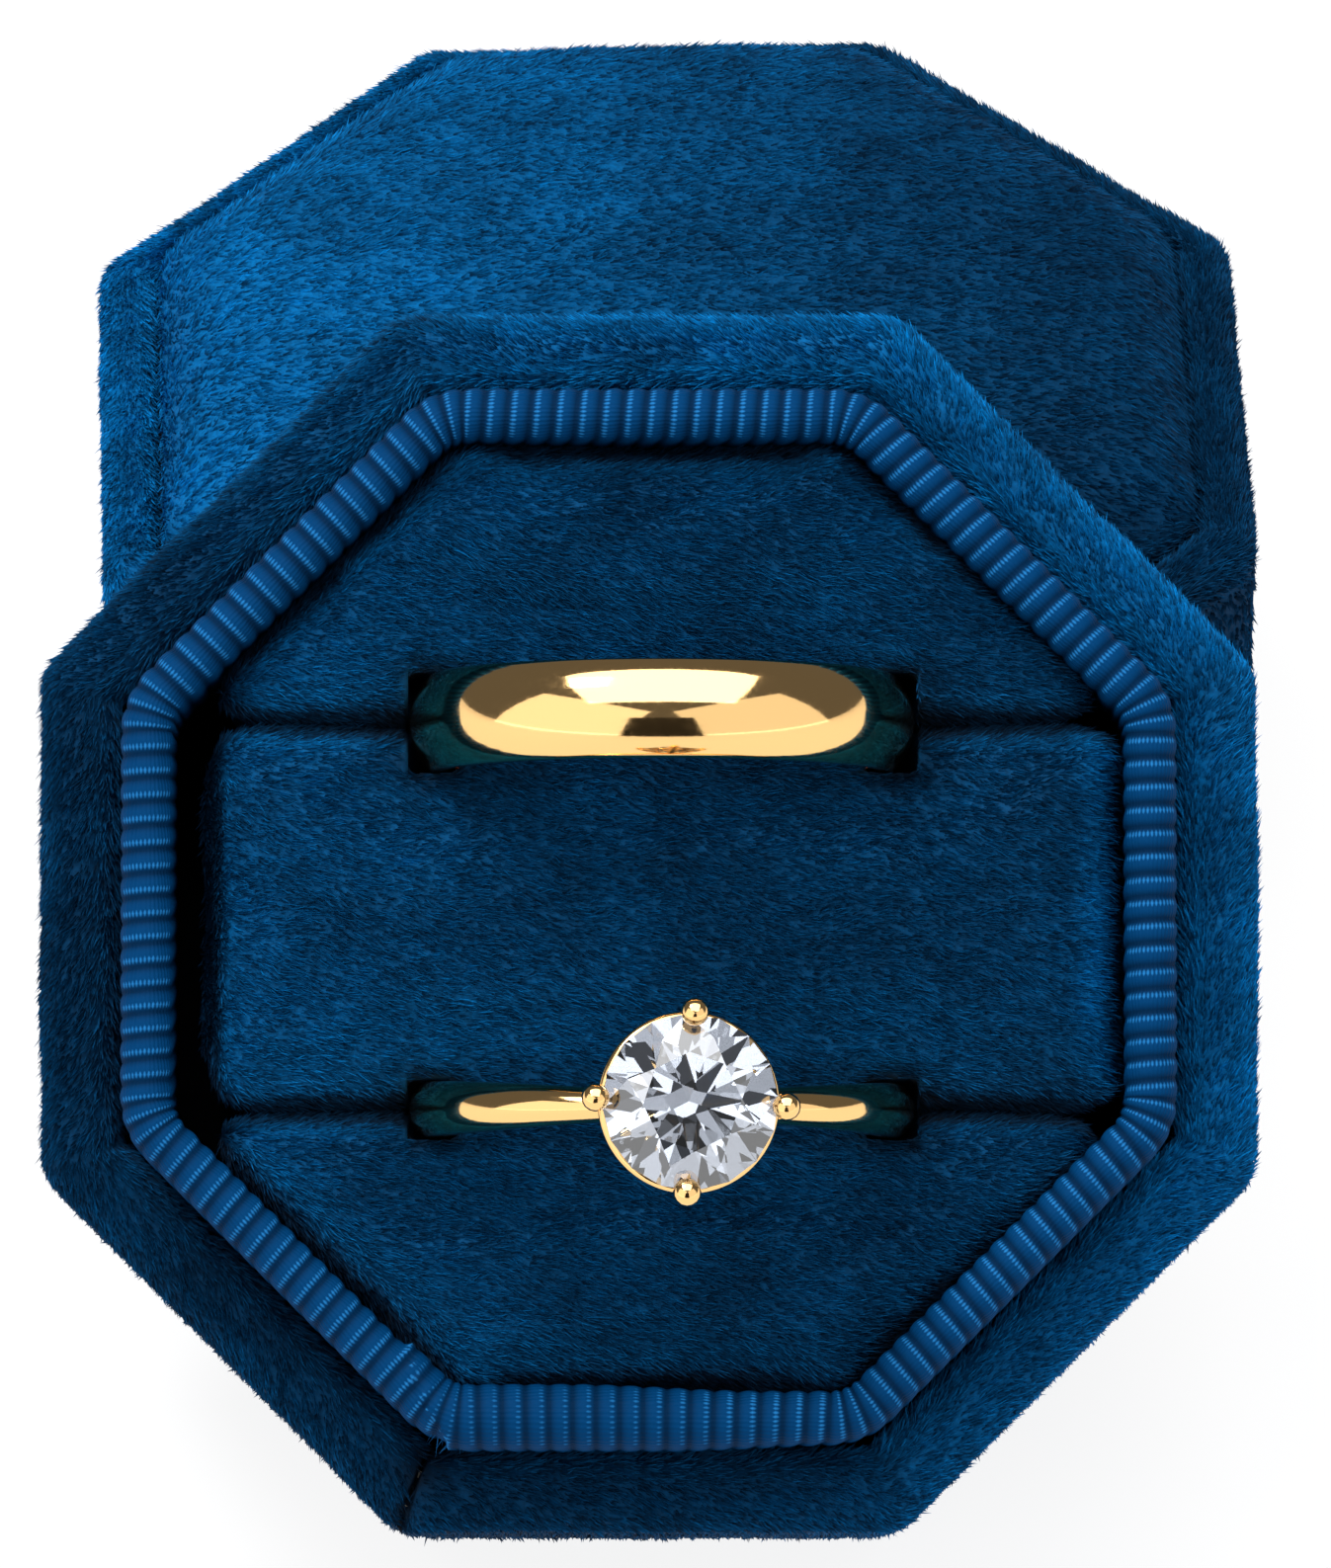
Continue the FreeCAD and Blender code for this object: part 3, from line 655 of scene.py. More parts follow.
@dataclass(frozen=True)
class GoldFinish:
    """Yellow gold alloy, lapped and polished: warm mirror with faint hairlines."""

    name: str
    colour: str = "#FFCF8A"
    roughness: float = 0.07
    hairline_mm: float = 0.25

    def make(self) -> bpy.types.Material:
        """Builds the material; the hairlines only stir the roughness."""
        material, tree, surface = blank(self.name)
        place = add_node(tree, "TexCoord").outputs["Object"]
        wear = add_node(
            tree, "TexNoise", Vector=place, Scale=per_mm(self.hairline_mm), Detail=4.0
        ).outputs["Fac"]
        rough = ramp(tree, wear, (0.3, 0.8), (self.roughness * 0.7, self.roughness * 1.8))
        bump = add_node(tree, "Bump", Height=wear, Strength=0.04, Distance=0.02 * MM)
        shader = add_node(
            tree,
            "BsdfPrincipled",
            Base_Color=linear(self.colour),
            Metallic=1.0,
            Roughness=rough,
            Normal=bump.outputs["Normal"],
        )
        tree.links.new(shader.outputs["BSDF"], surface)
        return material


@dataclass(frozen=True)
class StoneFinish:
    """Cut clear stone, polished flat facets: white fire, and a grey-blue tint that dims it as
    painted shade for its darker reflections.
    """

    name: str
    # Grey-blue tint of a clear stone: painted shade that dims its light.
    colour: str = "#B4BBC8"
    ior: float = 2.42

    def make(self) -> bpy.types.Material:
        """Builds the material."""
        material, tree, surface = blank(self.name)
        shader = add_node(
            tree, "BsdfPrincipled", Base_Color=linear(self.colour), Roughness=0.0, IOR=self.ior
        )
        shader.inputs["Transmission Weight"].default_value = 1.0
        tree.links.new(shader.outputs["BSDF"], surface)
        return material


@dataclass(frozen=True)
class MottledFinish:
    """A dull sheet or foam whose colour and surface vary in grains of one size."""

    name: str
    low: str
    high: str
    grain_mm: float
    depth_mm: float
    roughness: float = 0.9

    def make(self) -> bpy.types.Material:
        """Builds the material from one noise pattern."""
        material, tree, surface = blank(self.name)
        place = add_node(tree, "TexCoord").outputs["Object"]
        grain = add_node(
            tree, "TexNoise", Vector=place, Scale=per_mm(self.grain_mm), Detail=5.0
        ).outputs["Fac"]
        colour = mixed(tree, ramp(tree, grain, (0.35, 0.65)), self.low, self.high)
        bump = add_node(tree, "Bump", Height=grain, Strength=0.8, Distance=self.depth_mm * MM)
        shader = add_node(
            tree,
            "BsdfPrincipled",
            Base_Color=colour,
            Roughness=self.roughness,
            Normal=bump.outputs["Normal"],
        )
        tree.links.new(shader.outputs["BSDF"], surface)
        return material


@dataclass(frozen=True)
class Finishes:
    """Every material of the box, made once."""

    velvet: bpy.types.Material
    ribbon: bpy.types.Material
    gold: bpy.types.Material
    stone: bpy.types.Material
    board: bpy.types.Material
    paper: bpy.types.Material
    satin: bpy.types.Material

    @classmethod
    def make(cls) -> "Finishes":
        """Builds the materials."""
        return cls(
            velvet=VelvetFinish("velvet_deep_blue").make(),
            ribbon=RibbonFinish("grosgrain_blue").make(),
            gold=GoldFinish("gold_polished").make(),
            stone=StoneFinish("stone_brilliant").make(),
            board=MottledFinish("greyboard", "#6B665E", "#8C867B", 0.35, 0.02).make(),
            paper=MottledFinish("paper_navy", "#020C18", "#051526", 0.3, 0.01).make(),
            satin=MottledFinish("satin_navy", "#06203C", "#0A2D52", 0.2, 0.01, 0.35).make(),
        )


# ---- soft pads ------------------------------------------------------------------------

@dataclass(frozen=True)
class Stuffing:
    """How a foam pad under cloth swells.

    Attributes:
        voxel: spacing of the cloth's points.
        pressure: pressure in the cloth simulation.
        swell: the most that a point may move.
        enlarge: scale of the simulation, because cloth this small behaves badly.
        last_frame: how long it runs.
    """

    voxel: float = 0.6
    pressure: float = 3.0
    swell: float = 0.5
    enlarge: float = 25.0
    last_frame: int = 14

    def pad(self, nodes: Sequence[str], seat: Seat) -> Skin:
        """Remeshes CAD solids into one skin and lets it swell as cloth under pressure.

        Args:
            nodes: the CAD nodes that the pad stands for.
            seat: the seat that the skin is given in.

        Returns:
            The skin, in millimetres in the seat.
        """
        solid = self.remeshed(nodes, seat)
        return self.swollen(solid)

    def remeshed(self, nodes: Sequence[str], seat: Seat) -> Skin:
        """One closed skin of even quads round the CAD solids together."""
        joined = bpy.data.meshes.new("pad_source")
        places, faces, start = [], [], 0
        for name in nodes:
            source = frame["nodes"][name].data
            flat = np.zeros(len(source.vertices) * 3)
            source.vertices.foreach_get("co", flat)
            source.calc_loop_triangles()
            corners = np.zeros(len(source.loop_triangles) * 3, dtype=np.int32)
            source.loop_triangles.foreach_get("vertices", corners)
            places.append(seat.from_row(flat.reshape(-1, 3)) * self.enlarge * MM)
            faces.append(corners.reshape(-1, 3) + start)
            start += len(source.vertices)
        joined.from_pydata(np.concatenate(places).tolist(), [], np.concatenate(faces).tolist())
        thing = bpy.data.objects.new("pad_source", joined)
        bpy.context.scene.collection.objects.link(thing)
        remesh = thing.modifiers.new("even", "REMESH")
        remesh.mode = "VOXEL"
        remesh.voxel_size = self.voxel * self.enlarge * MM
        relax = thing.modifiers.new("relax", "SMOOTH")
        relax.iterations = 2
        skin = self.evaluated(thing)
        bpy.data.objects.remove(thing)
        return skin

    def evaluated(self, thing: bpy.types.Object) -> Skin:
        """The quads of an object as its modifiers leave it, back in millimetres."""
        shown = thing.evaluated_get(bpy.context.evaluated_depsgraph_get())
        mesh = shown.to_mesh()
        flat = np.zeros(len(mesh.vertices) * 3)
        mesh.vertices.foreach_get("co", flat)
        corners = np.zeros(len(mesh.loops), dtype=np.int32)
        mesh.loops.foreach_get("vertex_index", corners)
        points = flat.reshape(-1, 3) / (self.enlarge * MM)
        shown.to_mesh_clear()
        return Skin(points, corners.reshape(-1, 4).copy())

    def swollen(self, solid: Skin) -> Skin:
        """Runs the cloth under pressure and caps how far each point has moved."""
        mesh = bpy.data.meshes.new("pad_cloth")
        mesh.from_pydata((solid.points * self.enlarge * MM).tolist(), [], solid.faces.tolist())
        thing = bpy.data.objects.new("pad_cloth", mesh)
        scene = bpy.context.scene
        scene.collection.objects.link(thing)
        cloth = thing.modifiers.new("Cloth", "CLOTH")
        cloth.settings.quality = 5
        cloth.settings.use_pressure = True
        cloth.settings.uniform_pressure_force = self.pressure
        cloth.settings.effector_weights.gravity = 0.0
        cloth.settings.tension_stiffness = 20.0
        cloth.settings.compression_stiffness = 20.0
        cloth.settings.bending_stiffness = 2.0
        cloth.point_cache.frame_start = 1
        cloth.point_cache.frame_end = self.last_frame
        for number in range(1, self.last_frame + 1):
            scene.frame_set(number)
        moved = self.evaluated(thing).points - solid.points
        bpy.data.objects.remove(thing)
        scene.frame_set(1)
        far = np.linalg.norm(moved, axis=1, keepdims=True)
        moved *= np.minimum(1.0, self.swell / np.maximum(far, 1e-9))
        return Skin(solid.points + moved, solid.faces)


# ---- shared shapes --------------------------------------------------------------------

def outward(skin: Skin) -> Skin:
    """Turns a closed skin's faces to point outwards, by the sign of its volume."""
    tri = skin.triangles()
    a, b, c = (skin.points[tri[:, k]] for k in range(3))
    if float((a * np.cross(b, c)).sum()) < 0:
        return Skin(skin.points, skin.faces[:, ::-1].copy(), skin.fields, skin.smooth)
    return skin


def napped(skin: Skin, light: Array, tip: float = 0.55) -> Skin:
    """A velvet ground: its skin with the fields that the pile and its finish read."""
    size = len(skin.points)
    fields = {
        "pile_tip": np.full(size, tip),
        "pile_tone": np.full(size, 0.5),
        # The painted light and shade that the finish scales its colour by.
        "nap_light": np.broadcast_to(light, (size,)).copy(),
    }
    return Skin(skin.points, skin.faces, fields, skin.smooth)


def path_normals(path: Array) -> Array:
    """Normals of a closed path, on its right hand: its mean direction, turned clockwise."""
    ahead = unit(np.roll(path, -1, axis=0) - np.roll(path, 1, axis=0))
    return np.stack([ahead[:, 1], -ahead[:, 0]], -1)


def tube(path: Array, radius: Array, sides: int) -> Skin:
    """A round wire along a path, closed at both ends.

    A ring of the wire is its centre plus its radius times the cosine and sine of the turn
    along two directions square to the path.

    Args:
        path: (N, 3) centres.
        radius: (N,) radii.
        sides: points round the wire.

    Returns:
        The wire's skin.
    """
    ahead = unit(np.gradient(path, axis=0))
    guide = np.array([0.0, 1.0, 0.0])
    across = unit(np.cross(ahead, guide))
    over = np.cross(ahead, across)
    turn = np.linspace(0.0, 2 * math.pi, sides, endpoint=False)[None, :, None]
    spoke = np.cos(turn) * across[:, None] + np.sin(turn) * over[:, None]
    rings = path[:, None] + radius[:, None, None] * spoke
    return outward(close_poles(grid_skin(rings, False, True), sides))


def ring_sweep(radial: Array, axial: Array) -> Skin:
    """Carries a closed section round the Y axis.

    A point is its radial distance times the sine and cosine of the turn, and its axial
    distance along Y, with the turn counted from +Z towards +X.

    Args:
        radial: (rows, turns) distances from the axis.
        axial: (rows, turns) distances along it.

    Returns:
        The ring's skin.
    """
    turn = np.linspace(0.0, 2 * math.pi, radial.shape[1], endpoint=False)[None]
    points = np.stack([radial * np.sin(turn), axial, radial * np.cos(turn)], -1)
    return outward(grid_skin(points, True, True))


def ring_section(width: float, wall: float, edge: float, bow: float, step: float) -> Array:
    """A ring's section: a domed outside, eased sides and a slightly bowed inside.

    The dome is the arc through both sides at the edge thickness and the middle at the wall
    thickness, sampled evenly.

    Args:
        width: along the axis.
        wall: thickness in the middle.
        edge: thickness at the sides.
        bow: how far the inside stands in at the middle.
        step: spacing of the points.

    Returns:
        (N, 2) points, axial and outwards from the inside face.
    """
    half, dome = width / 2, wall - edge
    radius = (half * half + dome * dome) / (2 * dome)
    spread = np.linspace(-0.86, 0.86, 15) * half
    crown = wall - radius + np.sqrt(radius * radius - spread * spread)
    ease = 0.28 * edge
    corners = [(-half, bow, ease), (-half, edge, ease)]
    corners += [(float(x), float(y), 0.0) for x, y in zip(spread, crown)]
    corners += [(half, edge, ease), (half, bow, ease), (0.0, 0.0, half)]
    return rounded_path(corners, step)


def carried(
    loop: OctagonLoop, section: Array, apothem: float, corner: float, seed: int
) -> tuple[Array, Array, Array, Array]:
    """Carries a wall's section round the box.

    Args:
        loop: the walk round the octagon.
        section: (rows, 2) points of the section.
        apothem: the wall's outside.
        corner: radius of its rounded corners.
        seed: chooses the lumps.

    Returns:
        The grid of points, the way out of the cloth at each, its slow lumps from -1 to 1,
        and the loop's normals.
    """
    across, up = section.T
    _, normal = loop.walk()
    swept = loop.sweep(across, np.clip(corner - (apothem - across), 0.5, None), up)
    facing = path_normals(section)[:, None]
    over = np.repeat(facing[..., 1:], len(normal), 1)
    push = np.concatenate([facing[..., :1] * normal[None], over], -1)
    lumps = soft_noise(swept.reshape(-1, 3), 3.5, seed).reshape(swept.shape[:2])
    return swept, push, lumps, normal


def pile_side(section: Array, board: tuple[float, float], height: float, hem: float) -> Array:
    """One on the cloth's pile side and nought on its back, by where the board is.

    Args:
        section: (rows, 2) points of the section.
        board: the board's inside and outside.
        height: the wall's height.
        hem: how high the turned-in hem's back reaches.

    Returns:
        (rows,) ones and noughts.
    """
    (across, up), (board_in, board_out) = section.T, board
    inside = (across > board_in - 0.2) & (across < board_out + 0.2)
    inside &= (up > 0.7) & (up < height - 0.7)
    back = inside | ((across < board_in) & (up < hem) & (up > 0.5))
    return np.where(back, 0.0, 1.0)


# ---- base -----------------------------------------------------------------------------

@dataclass
class BaseShell:
    """The base's velvet wall and underside, in the base's upright frame."""

    seat: Seat
    finishes: Finishes
    apothem: float = 25.5
    height: float = 24.0
    corner: float = 2.3
    sink: float = 0.25
    board_out: float = 24.5
    board_in: float = 23.0
    mouth: float = 22.0
    skirt_foot: float = 13.0
    hem_in: float = 21.5
    roll: float = 1.6
    step: float = 0.55
    seam_depth: float = 0.9
    seam_corner: int = 5
    # Bearing, in degrees, of the side of the wall painted lightest, as painted light.
    light_from: float = 25.0
    shoulder_pile: Pile = Pile(lean=64.0, seed=11)
    wall_pile: Pile = Pile(width=0.14, lean=74.0, seed=12)

    def wall_skin(self, loop: OctagonLoop) -> tuple[Skin, Array, Array]:
        """The wall's strip of cloth round its board, with its mitred seam.

        Returns:
            The skin, its nap and which points are on its pile side.
        """
        out, top = self.apothem - self.sink, self.height - self.sink
        inner = self.mouth + self.sink / 2
        gap = 0.05
        section = rounded_path(
            [
                (self.hem_in, 0.1, 0.0),
                (out, 0.1, 0.7),
                (out, top, self.roll),
                (inner, top, self.roll - 0.2),
                (inner, self.skirt_foot, 0.0),
                (self.board_in - gap, self.skirt_foot, 0.0),
                (self.board_in - gap, self.height - 1 + gap, 0.1),
                (self.board_out + gap, self.height - 1 + gap, 0.1),
                (self.board_out + gap, 1 - gap, 0.1),
                (self.hem_in, 1 - gap, 0.0),
            ],
            self.step,
        )
        up = section[:, 1]
        swept, push, lumps, normal = carried(loop, section, self.apothem, self.corner, 21)
        columns = len(normal)
        side = pile_side(section, (self.board_in, self.board_out), self.height, 1.0)
        shown = side[:, None] * np.ones((1, columns))
        seam = self.seam(loop, columns)[None] * smooth_step(21.5, 23.2, up)[:, None]
        swept += push * (0.1 * lumps - self.seam_depth * seam)[..., None] * shown[..., None]
        tangent = np.stack([-normal[:, 1], normal[:, 0], np.zeros(columns)], -1)
        on_top = smooth_step(20.0, 22.5, up)[:, None, None]
        down = np.array([0.0, 0.0, -1.0])
        outwards = np.concatenate([normal, np.zeros((columns, 1))], -1)
        nap = on_top * (tangent + 0.45 * outwards)[None] + (1 - on_top) * down
        skin = outward(grid_skin(swept, True, True))
        return skin, nap.reshape(-1, 3), shown.ravel()

    def seam(self, loop: OctagonLoop, columns: int) -> Array:
        """One at the mitred corner's middle and nought a step either side of it."""
        per_side = columns // OCTAGON
        middle = self.seam_corner * per_side + loop.side_steps + loop.corner_steps // 2
        away = np.abs(np.arange(columns) - middle)
        return np.clip(1.0 - away / 1.5, 0.0, 1.0)

    def build(self) -> None:
        """Makes the wall and the underside, and hangs them on the base."""
        loop = OctagonLoop(12, 6)
        skin, nap, shown = self.wall_skin(loop)
        up, reach = skin.points[:, 2], np.hypot(skin.points[:, 0], skin.points[:, 1])
        turn = np.arctan2(skin.points[:, 1], skin.points[:, 0])
        # Painted light: the wall's side that faces light_from is lighter, the far side darker.
        facing = smooth_step(-0.6, 0.6, np.cos(turn - math.radians(self.light_from)))
        corner = (2 * self.seam_corner + 1) * HALF_CORNER
        beside = reach * np.abs(np.sin(turn - corner)) + 9.0 * (np.cos(turn - corner) < 0)
        # Along the mitred seam: painted shade in its groove, and no short pile.
        seam = (1 - smooth_step(0.1, 0.45, beside)) * smooth_step(19.0, 21.0, up)
        skin = napped(skin, (0.26 + 0.55 * facing) * (1 - 0.9 * seam))
        on_top = smooth_step(21.6, 22.6, up) * shown * (1 - seam)
        inside = (reach < self.mouth + 1.2) & (up < 22.4)
        on_wall = (1 - smooth_step(22.0, 22.6, up)) * shown * ~inside * (up > 0.2)
        short = self.shoulder_pile.grow(skin, nap, 66.0 * on_top, 39000)
        long = self.wall_pile.grow(skin, nap, 12.0 * on_wall, 45000, self.seat.clear_of_floor)
        finish = self.finishes.velvet
        wall = build_piece("base_velvet", self.seat, [skin, short], [finish] * 2)
        hang(wall, "base", "velvet", "base_wall_velvet")
        nap_piece = build_piece("base_wall_nap", self.seat, [long], [finish])
        hang(nap_piece, "base", "velvet")
        self.build_underside()

    def build_underside(self) -> None:
        """The velvet patch inside the hem: a flat octagon, eased at its edge."""
        loop = OctagonLoop(10, 3)
        edge = self.hem_in - 0.15
        share = np.array([0.02, 0.25, 0.5, 0.75, 0.93, 0.99, 1.0, 1.0, 0.97, 0.5, 0.02])
        level = np.array([0.15, 0.15, 0.15, 0.15, 0.15, 0.2, 0.3, 0.8, 0.95, 0.95, 0.95])
        swept = loop.sweep(edge * share, 0.6 * share, level)
        skin = napped(outward(close_poles(grid_skin(swept, False, True), swept.shape[1])), 0.4)
        below = (skin.points[:, 2] < 0.25) * 1.0
        nap = np.tile([1.0, 0.2, 0.0], (len(skin.points), 1))
        pile = self.wall_pile.grow(skin, nap, 6.0 * below, 9000)
        patch = build_piece(
            "underside_velvet", self.seat, [skin, pile], [self.finishes.velvet] * 2
        )
        hang(patch, "base", "velvet", "base_underside_velvet")


@dataclass
class CollarRibbon:
    """Grosgrain ribbon folded over the collar, its cut end lapped at one corner."""

    seat: Seat
    finishes: Finishes
    outside: float = 21.78
    inside: float = 19.85
    top: float = 28.5
    corner: float = 3.6
    fold: float = 0.95
    cloth: float = 0.4
    outer_foot: float = 22.9
    inner_foot: float = 20.0
    ribs: int = 148
    rib_height: float = 0.12
    lap_corner: int = 5
    lap_lift: float = 0.32

    def section(self) -> tuple[Array, Array]:
        """The folded ribbon's section, close-set over the top.

        Returns:
            (N, 2) points and (N,) one on its face and nought on its back.
        """
        back_out, back_in = self.outside - self.cloth, self.inside + self.cloth
        path = rounded_path(
            [
                (self.outside, self.outer_foot, 0.0),
                (self.outside, self.top, self.fold),
                (self.inside, self.top, self.fold),
                (self.inside, self.inner_foot, 0.0),
                (back_in, self.inner_foot, 0.0),
                (back_in, self.top - self.cloth, 0.1),
                (back_out, self.top - self.cloth, 0.1),
                (back_out, self.outer_foot, 0.0),
            ],
            0.22,
        )
        across, up = path.T
        back = (across < back_out + 0.1) & (across > back_in - 0.1) & (up < self.top - 0.2)
        near = (up > self.top - 3.2) & ~back
        keep = near | (np.arange(len(path)) % 5 == 0)
        return path[keep], np.where(back, 0.0, 1.0)[keep]

    def ribbed(self, loop: OctagonLoop) -> Skin:
        """The ribbon's skin.

        Its height over the section is the rib height times the root of the cosine's size,
        which gives round ribs with sharp valleys, plus the lapped end's step.
        """
        section, face = self.section()
        across, up = section.T
        facing = path_normals(section)
        walked = np.linalg.norm(np.diff(section, axis=0, prepend=section[:1]), axis=1).cumsum()
        run = loop.run(self.outside, self.corner)
        round_trip = run[-1] + (run[1] - run[0])
        wander = 0.25 * np.sin(run * 2 * math.pi / round_trip * 3 + 1.0)
        slant = (walked - walked.mean())[:, None] * (0.1 * np.sin(run / round_trip * 9.4 + 2))
        phase = (run[None] + wander + slant) * self.ribs / round_trip
        bump = np.abs(np.cos(math.pi * phase)) ** 0.75
        lap, cut = self.lap(run, loop, across)
        on_top = smooth_step(0.05, 0.5, facing[:, 1:])
        lift = face[:, None] * (self.rib_height * bump * (1 - 0.35 * lap) + self.lap_lift * lap)
        radius = np.clip(self.corner - (self.outside - across), 1.2, None)
        swept = loop.sweep(
            across[:, None] + facing[:, :1] * lift,
            radius[:, None] + facing[:, :1] * lift,
            up[:, None] + facing[:, 1:] * lift,
        )
        return outward(
            grid_skin(
                swept,
                True,
                True,
                run_mm=run[None],
                rise_mm=walked[:, None],
                # Painted highlight on the ribs' upward faces, and the lighter cut edge.
                rib_crest=np.maximum(self.line(phase, lap) * on_top, 1.1 * cut),
                # The ribs' height on the ribbon's face, which sets their painted shade.
                rib_swell=bump * face[:, None],
            )
        )

    def line(self, phase: Array, lap: Array) -> Array:
        """Share of the painted highlight line on each rib: a raised cosine a little to its side."""
        return (0.5 + 0.5 * np.cos(2 * math.pi * (phase - 0.2))) ** 2 * (1 - 0.2 * lap)

    def lap(self, run: Array, loop: OctagonLoop, across: Array) -> tuple[Array, Array]:
        """One just past the ribbon's cut end, fading along the side that it lies on.

        Returns:
            That, and one along the cut edge itself.
        """
        per_side = loop.side_steps + loop.corner_steps
        corner = run[self.lap_corner * per_side + loop.side_steps + loop.corner_steps // 2]
        inward = smooth_step(self.outside, self.inside, across)[:, None]
        start = corner + 0.6 - 4.0 * inward
        past = run[None] - start
        lap = smooth_step(0.0, 0.12, past) * (1 - smooth_step(9.0, 17.0, past))
        return lap, np.exp(-(((past - 0.15) / 0.14) ** 2))

    def frayed(self, skin: Skin) -> Skin:
        """A few threads that stray from the cut end, at the foot of the lapped corner."""
        rng = np.random.default_rng(5)
        count = 11
        angle = (2 * self.lap_corner + 1) * HALF_CORNER
        along = np.array([-math.sin(angle), math.cos(angle), 0.0])
        out = np.array([math.cos(angle), math.sin(angle), 0.0])
        reach = self.outside / math.cos(HALF_CORNER) - 1.0
        root = reach * out + np.array([0, 0, self.top - 1.0])
        root = root + rng.uniform(0.0, 1.3, (count, 1)) * along + rng.normal(0, 0.1, (count, 3))
        aim = unit(0.9 * out + rng.normal(0, 0.35, (count, 3)) + np.array([0, 0, -0.1]))
        tip = root + rng.uniform(0.7, 1.6, (count, 1)) * aim
        normal = np.tile([0.0, 0.0, 1.0], (count, 1))
        threads = Pile(width=0.07).tufts(root, tip, aim, normal)
        ones = np.ones(len(threads.points))
        # The stray threads take the painted highlight's colour in full, without painted shade.
        threads.fields = {"rib_crest": ones, "rib_swell": ones}
        return threads

    def build(self) -> None:
        """Makes the ribbon and hangs it on the base."""
        skin = self.ribbed(OctagonLoop(144, 27))
        ribbon = build_piece(
            "collar_grosgrain", self.seat, [skin, self.frayed(skin)], [self.finishes.ribbon] * 2
        )
        hang(ribbon, "base", "ribbon", "collar_ribbon")


# ---- cushion --------------------------------------------------------------------------

class Slot(Enum):
    """Which slit of the cushion a ring stands in, by its side of the middle."""

    BACK = 1
    FRONT = -1

    @property
    def half_width(self) -> float:
        """Half the width of the ring in this slit, in millimetres, with room for its pile."""
        return {Slot.BACK: 2.1, Slot.FRONT: 1.25}[self]


